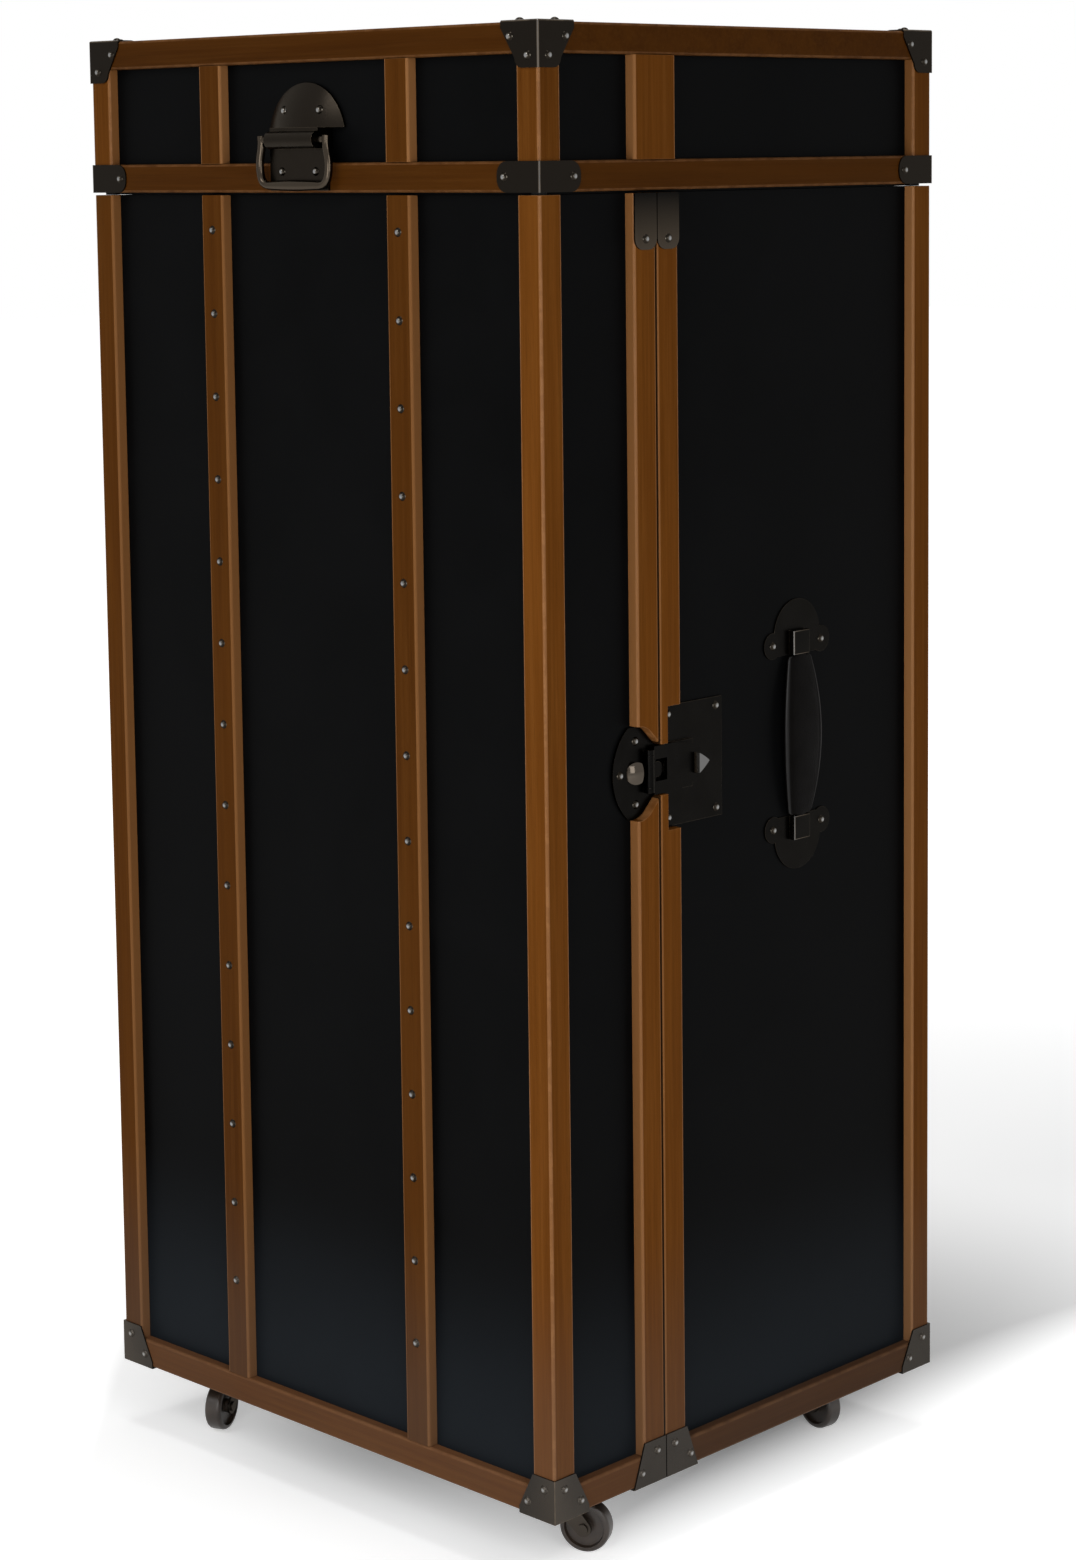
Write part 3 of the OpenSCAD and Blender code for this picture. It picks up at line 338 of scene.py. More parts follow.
def brown_wood(name, dark, middle, light, edge, rough):
    """Satin lacquered wood whose grain runs along each strip, paler along edges that are rubbed and given a
    painted highlight, and on narrow sides with a painted highlight.
    """
    made = Finish(name, Specular_IOR_Level=0.015, Coat_Roughness=0.22)
    tree = made.tree
    grain = made.group(GRAIN, Coord=made.attribute("grain", "Vector"), Tone=made.attribute("tone"),
                       Dark=dark, Middle=middle, Light=light)
    # Rubbed edges take a paler colour, partly wear and partly a painted highlight
    rubbed = times(tree, made.worn_and_highlit(scale=70.0), WOOD_RUB_AND_HIGHLIGHT)
    # Narrow sides are paler: a painted highlight
    lit_side = times(tree, made.attribute("side"), WOOD_LIT_SIDE)
    wood = mix_colour(tree, math_node(tree, "MAXIMUM", rubbed, lit_side), grain["Colour"], edge)
    # Painted shade in the seam between leaf and cabinet
    wood = mix_colour(tree, made.attribute("joint"), wood, JOINT_SHADE)
    # Dust at the foot, with a painted reflection of the floor
    dust_sheen = times(tree, made.foot_dust_and_sheen(), WOOD_DUST_SHEEN_SHARE)
    made.feed(Base_Color=mix_colour(tree, dust_sheen, wood, WOOD_DUST_SHEEN),
              Roughness=spread(tree, grain["Gloss"], 0.0, 1.0, rough, rough + WOOD_UNEVEN),
              Coat_Weight=times(tree, made.attribute("eased"), WOOD_SHEEN))
    made.bump(grain["Height"], strength=0.12, distance=0.4 * MM)
    return made.material


LACQUER_DARK = (0.0018, 0.0019, 0.0020, 1)
LACQUER_PALE = (0.0030, 0.0031, 0.0033, 1)
# Bluish dust near the foot, which also paints the reflection of the pale floor
LACQUER_DUST_SHEEN = (0.0135, 0.0165, 0.0200, 1)
LACQUER_WORN = (0.03, 0.022, 0.016, 1)
LACQUER_RUB = 0.5
LACQUER_ROUGH = (0.34, 0.46)
LACQUER_SPECKS = 0.12
LINEN_DARK = (0.33, 0.25, 0.16, 1)
LINEN_PALE = (0.52, 0.43, 0.31, 1)
LINEN_GAP = (0.16, 0.11, 0.07, 1)
LINEN_GAP_SHARE = 0.35
LINEN_THREADS = 620.0
LINEN_ROUGH = 0.9


def black_board():
    """Satin black outside, paler and bluer towards the foot with dust and a painted reflection of the floor,
    and a linen lining inside.
    """
    made = Finish("black_lacquer_lined", Specular_IOR_Level=0.016)
    tree = made.tree
    inside = made.group(INSIDE, Coord=made.coord)["Mask"]
    marks = made.handled(scale=7.0)
    weave = made.group(WEAVE, Coord=made.coord, Threads=LINEN_THREADS)
    black = mix_colour(tree, marks["Clouds"], LACQUER_DARK, LACQUER_PALE)
    black = mix_colour(tree, made.foot_dust_and_sheen(), black, LACQUER_DUST_SHEEN)
    black = mix_colour(tree, times(tree, made.worn_and_highlit(scale=60.0), LACQUER_RUB), black, LACQUER_WORN)
    linen = mix_colour(tree, weave["Slub"], LINEN_DARK, LINEN_PALE)
    gaps = spread(tree, weave["Height"], -1.0, 1.0, 0.0, LINEN_GAP_SHARE)
    linen = mix_colour(tree, gaps, linen, LINEN_GAP)
    outside_rough = spread(tree, marks["Clouds"], 0.0, 1.0, *LACQUER_ROUGH)
    inside_rough = times(tree, inside, LINEN_ROUGH)
    made.feed(Base_Color=mix_colour(tree, inside, black, linen),
              Roughness=math_node(tree, "MAXIMUM", outside_rough, inside_rough))
    relief = math_node(tree, "ADD", times(tree, marks["Specks"], LACQUER_SPECKS),
                       times(tree, weave["Height"], inside))
    made.bump(relief, strength=0.25, distance=0.2 * MM)
    return made.material


METAL_TINT = (0.72, 0.70, 0.67, 1)
# Dust near the foot, which also paints a reflection of the pale floor, and its share
METAL_DUST_SHEEN = (0.190, 0.168, 0.146, 1)
METAL_DUST_SHEEN_SHARE = 0.18
METAL_CLOUDED = 0.65
METAL_DULLER = 0.08
METAL_SMOOTHER = 0.06
WEAR_FINENESS = 3
SILVERED = (0.2, 0.6)
POLISH_GLOSS = 0.6
RUB_GLOSS = 0.12
SMOOTHEST = 0.10


def dark_metal(name, base, bright, rough, rub_and_highlight_share, scale=30.0):
    """Blackened metal with a soft sheen, rubbed bright along its edges and where it is polished, which also
    paints highlights, and paler near the foot with dust and a painted floor reflection.
    """
    made = Finish(name, Metallic=1.0, Specular_Tint=METAL_TINT)
    tree = made.tree
    marks = made.handled(scale)
    polish = made.attribute("polish")
    clouded = [part * METAL_CLOUDED for part in base[:3]] + [1]
    grey = sum(bright[:3]) / 3
    silver = mix_colour(tree, spread(tree, polish, *SILVERED), bright, (grey, grey, grey, 1))
    patina = mix_colour(tree, polish, mix_colour(tree, marks["Clouds"], clouded, base), silver)
    rubbed = times(tree, made.worn_and_highlit(scale * WEAR_FINENESS), rub_and_highlight_share)
    dust_sheened = mix_colour(tree, times(tree, made.foot_dust_and_sheen(), METAL_DUST_SHEEN_SHARE), patina, METAL_DUST_SHEEN)
    gloss = math_node(tree, "ADD", times(tree, rubbed, RUB_GLOSS), times(tree, polish, POLISH_GLOSS))
    dull = spread(tree, marks["Clouds"], 0.0, 1.0, rough + METAL_DULLER, rough - METAL_SMOOTHER)
    made.feed(Base_Color=mix_colour(tree, rubbed, dust_sheened, bright),
              Roughness=math_node(tree, "MAXIMUM", math_node(tree, "SUBTRACT", dull, gloss), SMOOTHEST))
    made.bump(marks["Specks"], strength=0.08, distance=0.2 * MM)
    return made.material


HIDE_DARK = (0.0016, 0.0014, 0.0013, 1)
HIDE_PALE = (0.0033, 0.0029, 0.0027, 1)
HIDE_CREASE = (0.004, 0.003, 0.0025, 1)
HIDE_CREASE_SHARE = 0.5
HIDE_ROUGH = (0.52, 0.38)
HIDE_SHEEN = 0.35


def black_leather():
    """Dark pebbled leather, a little browner in its creases and glossier along its edges."""
    made = Finish("grip_leather", Specular_IOR_Level=0.022, Coat_Roughness=0.3)
    tree = made.tree
    pebble = made.group(PEBBLE, Coord=made.coord, Scale=640.0)
    marks = made.handled(scale=38.0)
    hide = mix_colour(tree, marks["Clouds"], HIDE_DARK, HIDE_PALE)
    creased = times(tree, pebble["Crease"], HIDE_CREASE_SHARE)
    made.feed(Base_Color=mix_colour(tree, creased, hide, HIDE_CREASE),
              Roughness=spread(tree, marks["Clouds"], 0.0, 1.0, *HIDE_ROUGH),
              Coat_Weight=times(tree, made.attribute("eased"), HIDE_SHEEN))
    made.bump(pebble["Height"], strength=0.35, distance=0.3 * MM)
    return made.material


MOULD_RUB = 0.4
MOULD_SMOOTHER = 0.06
MOULD_DULLER = 0.08


def plain_mould(name, low, high, rough, specular):
    """Moulded or turned material with faint clouds and specks."""
    made = Finish(name, Specular_IOR_Level=specular)
    tree = made.tree
    marks = made.handled(scale=60.0)
    rubbed = times(tree, made.worn_and_highlit(scale=120.0), MOULD_RUB)
    made.feed(Base_Color=mix_colour(tree, rubbed, mix_colour(tree, marks["Clouds"], low, high), high),
              Roughness=spread(tree, marks["Specks"], 0.0, 1.0, rough - MOULD_SMOOTHER, rough + MOULD_DULLER))
    made.bump(marks["Specks"], strength=0.1, distance=0.2 * MM)
    return made.material


# A wood's edge colour is that of its rubbed edges and narrow sides, where it is partly a painted highlight
FINISHES = {
    "strip_wood": brown_wood("strip_wood", dark=(0.122, 0.0380, 0.0046, 1), middle=(0.164, 0.0540, 0.0074, 1),
                             light=(0.200, 0.0720, 0.0125, 1), edge=(0.33, 0.150, 0.054, 1), rough=0.36),
    "inner_wood": brown_wood("inner_wood", dark=(0.20, 0.095, 0.038, 1), middle=(0.29, 0.150, 0.066, 1),
                             light=(0.38, 0.215, 0.105, 1), edge=(0.42, 0.255, 0.135, 1), rough=0.48),
    "black_board": black_board(),
    "dark_metal": dark_metal("dark_metal", base=(0.0050, 0.0047, 0.0044, 1), bright=(0.195, 0.150, 0.106, 1),
                             rough=0.28, rub_and_highlight_share=0.4),
    "castor_metal": dark_metal("castor_metal", base=(0.030, 0.023, 0.017, 1), bright=(0.22, 0.18, 0.14, 1),
                               rough=0.32, rub_and_highlight_share=0.5),
    "nail_metal": dark_metal("nail_metal", base=(0.016, 0.013, 0.010, 1), bright=(0.30, 0.27, 0.22, 1),
                             rough=0.24, rub_and_highlight_share=0.3, scale=80.0),
    "rail_steel": dark_metal("rail_steel", base=(0.42, 0.41, 0.39, 1), bright=(0.62, 0.60, 0.57, 1),
                             rough=0.26, rub_and_highlight_share=0.5),
    "grip_leather": black_leather(),
    "castor_tread": plain_mould("castor_tread", low=(0.020, 0.013, 0.009, 1), high=(0.045, 0.030, 0.021, 1),
                                rough=0.36, specular=0.5),
    "buffer_rubber": plain_mould("buffer_rubber", low=(0.008, 0.008, 0.008, 1), high=(0.016, 0.016, 0.016, 1),
                                 rough=0.75, specular=0.3),
}


# Edges of the CAD copies

MERGE = 0.002 * MM
FLAT = math.radians(0.4)
SHARP = math.radians(33)
EASE = {"strip_wood": 0.5 * MM, "inner_wood": 1.2 * MM, "black_board": 0.4 * MM, "dark_metal": 0.35 * MM,
        "castor_metal": 0.4 * MM, "rail_steel": 0.3 * MM, "castor_tread": 0.3 * MM, "nail_metal": 0.0,
        "buffer_rubber": 0.2 * MM}
FOLD = 1.5 * MM
FOLD_REACH = 6 * MM
RIDGES = {"hasp": (2.5 * MM, 1.8 * MM), "handle_end_plates": (0.6 * MM, 1.2 * MM)}
LID_LIP = 1.9 * MM
OUTER_FACE = 0.5 * MM


def merged_copy(node):
    """A CAD node's mesh as whole flat faces."""
    shape = bmesh.new()
    shape.from_mesh(frame["nodes"][node].data)
    bmesh.ops.remove_doubles(shape, verts=shape.verts, dist=MERGE)
    bmesh.ops.dissolve_limit(shape, angle_limit=FLAT, verts=shape.verts, edges=shape.edges)
    return shape


def sharp_edges(shape):
    """Edges where two faces meet at more than a slight angle."""
    return [edge for edge in shape.edges if edge.is_manifold and edge.calc_face_angle(0.0) > SHARP]


def folds(shape):
    """Edges where two broad faces of a bent plate meet, and not those of its cut edge."""
    return [edge for edge in sharp_edges(shape)
            if all(face.calc_area() > FOLD_REACH * edge.calc_length() for face in edge.link_faces)]


def ridges(shape, depth):
    """Edges that lie no deeper than this below the piece's outermost face, away from the trunk."""
    level = max(abs(vert.co.x) for vert in shape.verts) - depth
    return [edge for edge in sharp_edges(shape) if all(abs(vert.co.x) > level for vert in edge.verts)]


def inner_edges(shape):
    """Those of a board's edges that don't lie on the trunk's outside."""
    return [edge for edge in sharp_edges(shape)
            if all(abs(vert.co.x) < BOARD_X - OUTER_FACE and abs(vert.co.y) < BOARD_Y - OUTER_FACE
                   for vert in edge.verts)]


def round_edges(shape, edges, amount, mark):
    """Rounds these edges and marks the new faces."""
    if not edges or not amount:
        return
    made = bmesh.ops.bevel(shape, geom=edges, offset=amount, offset_type="OFFSET", segments=2, profile=0.5,
                           affect="EDGES", clamp_overlap=True, material=-1)
    for face in made["faces"]:
        face[mark] = 1.0


def drop_rim(shape):
    """Lets a lid board reach down into the gap under the lid, so that no light shows through it."""
    rim = min(vert.co.z for vert in shape.verts)
    for vert in shape.verts:
        if vert.co.z < rim + RIM_REACH:
            vert.co.z -= LID_LIP


def ease_piece(shape, node, mark):
    """Rounds a piece's folds and ridges, and then its other edges."""
    slot = SLOT_OF[node]
    if node.endswith("brackets"):
        round_edges(shape, folds(shape), FOLD, mark)
    if node in RIDGES:
        depth, amount = RIDGES[node]
        round_edges(shape, ridges(shape, depth), amount, mark)
    if node in ("lid_end_boards", "lid_side_boards"):
        drop_rim(shape)
    edges = inner_edges(shape) if slot == "black_board" else sharp_edges(shape)
    round_edges(shape, edges, EASE[slot], mark)


# Wear of the CAD copies

# Which narrow sides of a strip get a painted highlight and how strong, how far edges are rubbed and highlit,
# how light wood is with painted shade
ROUND_SIDE = 0.985
LONG_SIDE = 60 * MM
NARROW_SIDE = 12 * MM
LIT_SIDES = {"lid_slats": 1.5, "cabinet_corner_posts": 1.85, "leaf_seam_battens": 1.3}
RUBBED = {"leaf_front_slats": 0.0, "cabinet_back_slats": 0.0, "lid_slats": 0.3, "handle_end_plates": 0.3,
          "lock_plate": 0.4, "hasp": 0.5, "hasp_plate": 0.6}
RAIL_RUB = 0.35
# The left post's edges get a fainter painted highlight, as the post is less lit
LEFT_POST_SHADED_EDGE = 0.2
SEAM_RUB = 0.15
SEAM_EDGE = 4 * MM
SEAM_LINE = 1.5 * MM
# How dark the seam's walls are painted, as shade in the gap
SEAM_SHADE = 0.9
# Tones of the wood, partly its own and partly painted shade: darker on the lid, the front slats and rails,
# where less light falls
TONES_AND_SHADE = {"leaf_front_slats": 0.56, "cabinet_back_slats": 0.56, "lid_slats": 0.58, "lid_top_rails": 0.43,
         "lid_base_rails": 0.45, "lid_corner_posts": 0.87, "leaf_bottom_rails": 0.82,
         "cabinet_bottom_rails": 0.52}
# The left post is painted darker and the lid's side bands lighter, as light falls on them
LEFT_POST_SHADE = 0.66
LIT_BAND_TONE = 0.95
TONE_RANGE = (0.95, 1.05)
GRAIN_SHIFT = (0, 3)
GRAINED = ("strip_wood", "inner_wood")
METALS = ("dark_metal", "castor_metal", "nail_metal", "rail_steel")
# How far the patina of metal is rubbed off, and where: from a lowest to a highest corner. On the nails, the
# loops' sides, the hasp's boss and nose and the corner folds this also paints a highlight, and the straps'
# tops are left darker as painted shade under the lid.
# How far a nail's face turns before it is left dark, as painted shade at the rim
NAIL_RIM = 0.85
LOOP_HALF = 12 * MM
LOOP_Y = GRIP_MIDDLE.y - LOOP_HALF
# The straps are polished only below their tops, so the tops stay darker as painted shade under the lid
STRAP_LOW = 1180 * MM
STRAP_HIGH = 1290 * MM
STRAP_REACH = 60 * MM
ALL_OVER = ((-1, -1, -1), (1, 1, 2))
# A thin band on one side of each loop, polished as a painted highlight
LOOP_SIDE = ((BOARD_X + 2 * MM, LOOP_Y - 0.6 * MM, 0), (BOARD_X + 9 * MM, LOOP_Y + 0.9 * MM, 2))
# The hasp's boss and nose are polished, partly as a painted highlight
HASP_BOSS = ((BOARD_X + 2.6 * MM, SEAM_Y - 38 * MM, HASP_Z - 11 * MM),
             (BOARD_X + 11 * MM, SEAM_Y - 21 * MM, HASP_Z + 11 * MM))
HASP_NOSE = ((BOARD_X + 8.6 * MM, SEAM_Y + 45 * MM, HASP_Z - 20 * MM),
             (BOARD_X + 15 * MM, SEAM_Y + 82 * MM, HASP_Z + 20 * MM))
SEAM_STRAPS = ((-1, SEAM_Y - STRAP_REACH, STRAP_LOW), (1, SEAM_Y + STRAP_REACH, STRAP_HIGH))
POLISHED = {"bail_handle": (0.22, ALL_OVER), "lid_handle_plate": (0.06, ALL_OVER),
            "lid_brackets": (0.045, ALL_OVER), "hasp_pin": (0.5, ALL_OVER),
            "handle_end_plates": (0.6, LOOP_SIDE), "hasp_plate": (0.32, HASP_BOSS), "hasp": (0.75, HASP_NOSE),
            "leaf_brackets": (0.24, SEAM_STRAPS), "cabinet_brackets": (0.24, SEAM_STRAPS)}
# Polish on the corner folds, which is partly a painted highlight
FOLD_POLISH = {"lid_brackets": 1.0, "leaf_brackets": 0.1}
FOLD_NEAR = 1 * MM
CORNER_REACH = 5 * MM
GRAIN_SEED = 7
dice = random.Random(GRAIN_SEED)


def held(value):
    """A value held between 0 and 1."""
    return min(max(value, 0.0), 1.0)


def solids_of(shape):
    """The separate solids of a mesh, as lists of vertices."""
    left = set(shape.verts)
    groups = []
    for start in shape.verts:
        if start not in left:
            continue
        left.discard(start)
        group = [start]
        for vert in group:
            for edge in vert.link_edges:
                other = edge.other_vert(vert)
                if other in left:
                    left.discard(other)
                    group.append(other)
        groups.append(group)
    return groups


def is_narrow(face):
    """True for the long narrow side of a strip, which gets a painted highlight that makes it paler than its
    broad face.
    """
    length = max(edge.calc_length() for edge in face.edges)
    return length > LONG_SIDE and face.calc_area() < NARROW_SIDE * length


def mark_strips(shape, node, mark):
    """Marks the rounded edges that a strip has in the CAD, and its narrow sides for a painted highlight."""
    side = shape.faces.layers.float.new("side")
    for face in shape.faces:
        face[mark] = float(max(abs(part) for part in face.normal) < ROUND_SIDE)
        lit_side = is_narrow(face) and not node.endswith("rails")
        face[side] = LIT_SIDES.get(node, 1.0) if lit_side else 0.0


def rub_share(node, face):
    """How far the edges of a strip or plate are rubbed, which also sets how strong their painted highlight
    is.
    """
    middle = face.calc_center_median()
    if node.endswith("rails"):
        return RAIL_RUB
    if node.endswith("seam_battens") and abs(middle.y - SEAM_Y) < SEAM_EDGE:
        return SEAM_RUB
    if node == "leaf_corner_posts" and middle.x < 0:
        return LEFT_POST_SHADED_EDGE
    return RUBBED.get(node, 1.0)


def darken_seam(shape):
    """Marks the faces of a batten that lie in the seam between leaf and cabinet, for painted shade in the
    gap.
    """
    joint = shape.faces.layers.float.new("joint")
    for face in shape.faces:
        at_seam = abs(face.calc_center_median().y - SEAM_Y) < SEAM_LINE
        face[joint] = SEAM_SHADE if at_seam else 0.0


def lay_polish(shape, node):
    """Marks how far the patina of a metal piece is rubbed off, all over or in one part of it; on a nail the
    polished crown is a painted highlight and the dark rim painted shade.
    """
    polish = shape.verts.layers.float.new("polish")
    amount, (low, high) = POLISHED.get(node, (0.0, ALL_OVER))
    shape.normal_update()
    for vert in shape.verts:
        place = (abs(vert.co.x), vert.co.y, vert.co.z)
        # Nails: the crown is polished as a painted highlight, the rim left dark as painted shade
        if node.endswith("nails"):
            facing = max(abs(part) for part in vert.normal)
            vert[polish] = held((facing - NAIL_RIM) / (1 - NAIL_RIM))
        elif all(least < part < most for least, part, most in zip(low, place, high)):
            vert[polish] = amount


def polish_folds(shape, node):
    """Polishes the upright fold of each plate that goes round a corner of the trunk, which partly paints a
    highlight along it.
    """
    polish = shape.verts.layers.float["polish"]
    sides = range(2)
    widest = [max(abs(vert.co[axis]) for vert in shape.verts) for axis in sides]
    for group in solids_of(shape):
        reach = [max(abs(vert.co[axis]) for vert in group) for axis in sides]
        if any(reach[axis] < widest[axis] - CORNER_REACH for axis in sides):
            continue
        for vert in group:
            if all(abs(vert.co[axis]) > reach[axis] - FOLD_NEAR for axis in sides):
                vert[polish] = FOLD_POLISH[node]


def tone_of(node, low, high):
    """The tone of one wood solid: that of its node, or its own on a side band or the left post; these are
    partly the wood's own tone and partly painted shade on less lit faces.
    """
    if node == "lid_slats" and min(abs(low.x), abs(high.x)) > INNER_X:
        return LIT_BAND_TONE
    if node == "leaf_corner_posts" and high.x < 0:
        return LEFT_POST_SHADE
    return TONES_AND_SHADE.get(node, 1.0)


def lay_grain(shape, node):
    """Gives each wood solid its own stretch of grain, along its longest side, and its own tone."""
    grain = shape.verts.layers.float_vector.new("grain")
    tone = shape.verts.layers.float.new("tone")
    for group in solids_of(shape):
        low, high = box_round(vert.co for vert in group)
        size = high - low
        along = max(range(3), key=lambda axis: size[axis])
        shift = Vector(dice.uniform(*GRAIN_SHIFT) for _ in range(3))
        shade = tone_of(node, low, high) * dice.uniform(*TONE_RANGE)
        for vert in group:
            turned = Vector((vert.co[(along + 1) % 3], vert.co[(along + 2) % 3], vert.co[along]))
            vert[grain] = turned + shift
            vert[tone] = shade


def as_piece(shape, name, material):
    """A new object from a mesh in the making, smooth but for its sharp edges."""
    for face in shape.faces:
        face.smooth = True
    for edge in shape.edges:
        edge.smooth = edge.calc_face_angle(math.pi) < SHARP
    mesh = bpy.data.meshes.new(name)
    shape.to_mesh(mesh)
    shape.free()
    mesh.materials.append(material)
    piece = bpy.data.objects.new(name, mesh)
    bpy.context.scene.collection.objects.link(piece)
    return piece


def dressed(node):
    """A copy of a CAD node with eased edges and its finish, which takes the node's place."""
    slot = SLOT_OF[node]
    shape = merged_copy(node)
    mark = shape.faces.layers.float.new("eased")
    if slot == "strip_wood":
        mark_strips(shape, node, mark)
    ease_piece(shape, node, mark)
    for face in shape.faces:
        face[mark] *= rub_share(node, face)
    if node.endswith("seam_battens"):
        darken_seam(shape)
    if slot in METALS:
        lay_polish(shape, node)
    if node in FOLD_POLISH:
        polish_folds(shape, node)
    if slot in GRAINED:
        lay_grain(shape, node)
    piece = as_piece(shape, node + "_dressed", FINISHES[slot])
    piece.modifiers.new("even_normals", "WEIGHTED_NORMAL").keep_sharp = True
    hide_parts(node)
    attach(piece, BODY_OF[node])


# Leather grips

# Half lengths and half widths of the grip and of its straps, the ends that lie under the loops
GRIP_HALF = 80 * MM
GRIP_END = (GRIP_HIGH.z - GRIP_LOW.z) / 2
GRIP_WIDE = 27.6 * MM
GRIP_NARROW = 16.2 * MM
STRAP_WIDE = 9.3 * MM
# How far they stand off the board, how thick they are, and how the grip narrows at its shoulders
GRIP_BOW = 6.2 * MM
GRIP_THICK = 5.4 * MM
GRIP_CROWN = 2.2 * MM
STRAP_THICK = 3.6 * MM
STRAP_SEAT = 2.0 * MM
SHOULDER = 4 * MM
SHOULDER_LEAD = 1.1
FINE_LEAD = 1.2
# Rings of the mesh, the form of its section, and where its edges are glossy
GRIP_SIDES = 48
BODY_STEPS = 20
SHOULDER_STEPS = 12
STRAP_STEPS = 4
BROAD_POWER = 0.45
FLAT_POWER = 0.5
CREASE_AT = 0.80
CREASE_WIDE = 0.06
CREASE_DEEP = 0.3
RUB_FROM = 0.86
RUB_FADE = 0.08
GRIPS = {"right_handle_grip": 1, "left_handle_grip": -1}


def grip_section(height):
    """Half width, half thickness and stand-off of the leather at a height from its middle."""
    reach = min(abs(height) / GRIP_HALF, 1.0)
    swell = 1 - reach * reach
    wide = GRIP_NARROW + (GRIP_WIDE - GRIP_NARROW) * swell
    turn = held((abs(height) - GRIP_HALF) / SHOULDER + SHOULDER_LEAD)
    wide -= (wide - STRAP_WIDE) * (1 - math.sqrt(1 - turn * turn))
    thick = (STRAP_THICK + (GRIP_THICK - STRAP_THICK) * swell) / 2
    inner = STRAP_SEAT + (GRIP_BOW - STRAP_SEAT) * swell
    return wide, thick, inner + thick


def squared(part, power):
    """A part of a round section, pushed out towards a square one."""
    return math.copysign(abs(part) ** power, part)


def grip_ring(verts, height, eased):
    """Sets a ring to the section at a height: flat inside, crowned outside, creased near its edges."""
    wide, thick, out = grip_section(height)
    for index, vert in enumerate(verts):
        turn = math.tau * index / len(verts)
        across = squared(math.cos(turn), BROAD_POWER)
        through = squared(math.sin(turn), FLAT_POWER)
        creased = 0.0
        crown = 0.0
        if through > 0:
            creased = math.exp(-((abs(across) - CREASE_AT) / CREASE_WIDE) ** 2) * CREASE_DEEP
            crown = GRIP_CROWN * (1 - across * across)
        vert.co = Vector((out + through * thick * (1 - creased) + crown, across * wide, height))
        vert[eased] = held((abs(across) - RUB_FROM) / RUB_FADE)


def grip_heights():
    """Heights of the rings, closer together where the leather narrows to its straps."""
    body = GRIP_HALF - FINE_LEAD * SHOULDER
    upper = [body * step / BODY_STEPS for step in range(BODY_STEPS)]
    upper += [body + (GRIP_HALF - body) * step / SHOULDER_STEPS for step in range(SHOULDER_STEPS)]
    upper += [GRIP_HALF + (GRIP_END - GRIP_HALF) * step / STRAP_STEPS for step in range(STRAP_STEPS + 1)]
    return [-height for height in reversed(upper[1:])] + upper


def leather_grip(side, name, node):
    """A bowed leather band: a ring drawn along it, closed at both ends."""
    shape = bmesh.new()
    eased = shape.verts.layers.float.new("eased")
    bmesh.ops.create_circle(shape, cap_ends=False, segments=GRIP_SIDES, radius=1.0)
    ring = list(shape.verts)
    edges = list(shape.edges)
    first = list(edges)
    heights = grip_heights()
    grip_ring(ring, heights[0], eased)
    for height in heights[1:]:
        made = bmesh.ops.extrude_edge_only(shape, edges=edges)["geom"]
        fresh = {item for item in made if isinstance(item, bmesh.types.BMVert)}
        ring = [next(edge.other_vert(vert) for edge in vert.link_edges if edge.other_vert(vert) in fresh)
                for vert in ring]
        grip_ring(ring, height, eased)
        edges = [item for item in made if isinstance(item, bmesh.types.BMEdge)
                 and all(vert in fresh for vert in item.verts)]
    bmesh.ops.edgeloop_fill(shape, edges=first)
    bmesh.ops.edgeloop_fill(shape, edges=edges)
    bmesh.ops.translate(shape, verts=shape.verts, vec=GRIP_MIDDLE)
    if side < 0:
        bmesh.ops.scale(shape, verts=shape.verts, vec=(-1, 1, 1))
    bmesh.ops.recalc_face_normals(shape, faces=shape.faces)
    piece = as_piece(shape, name, FINISHES["grip_leather"])
    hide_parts(node)
    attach(piece, "cabinet")


for cad_node in frame["nodes"]:
    if cad_node in GRIPS:
        leather_grip(GRIPS[cad_node], cad_node + "_leather", cad_node)
    else:
        dressed(cad_node)


# Studio

# Angles and place of the camera, and its frame, focal length and centre line in pixels
SHOT_TURN = math.radians(44.34)
SHOT_TILT = math.radians(6.59)
SHOT_ROLL = math.radians(-0.68)
SHOT_PLACE = Vector((2.3646, -2.3854, 1.3337))
FRAME_WIDE = 1076
FRAME_HIGH = 1560
FOCAL = 3299.3
CENTRE_LINE = 534.4
SENSOR = 36.0
FARTHEST = 60


def add_camera():
    """A camera at the photograph's angle."""
    data = bpy.data.cameras.new("camera")
    data.sensor_fit = "VERTICAL"
    data.sensor_height = SENSOR
    data.sensor_width = SENSOR * FRAME_WIDE / FRAME_HIGH
    data.lens = FOCAL / FRAME_HIGH * SENSOR
    data.shift_y = (CENTRE_LINE - FRAME_HIGH / 2) / FRAME_HIGH
    data.clip_end = FARTHEST
    camera = bpy.data.objects.new("camera", data)
    back = Vector((math.cos(SHOT_TILT) * math.sin(SHOT_TURN), -math.cos(SHOT_TILT) * math.cos(SHOT_TURN),
                   math.sin(SHOT_TILT)))
    right = Vector((math.cos(SHOT_TURN), math.sin(SHOT_TURN), 0))
    up = back.cross(right)
    turn = Matrix((right, up, back)).transposed() @ Matrix.Rotation(SHOT_ROLL, 3, "Z")
    camera.matrix_world = Matrix.Translation(SHOT_PLACE) @ turn.to_4x4()
    bpy.context.scene.collection.objects.link(camera)
    bpy.context.scene.camera = camera


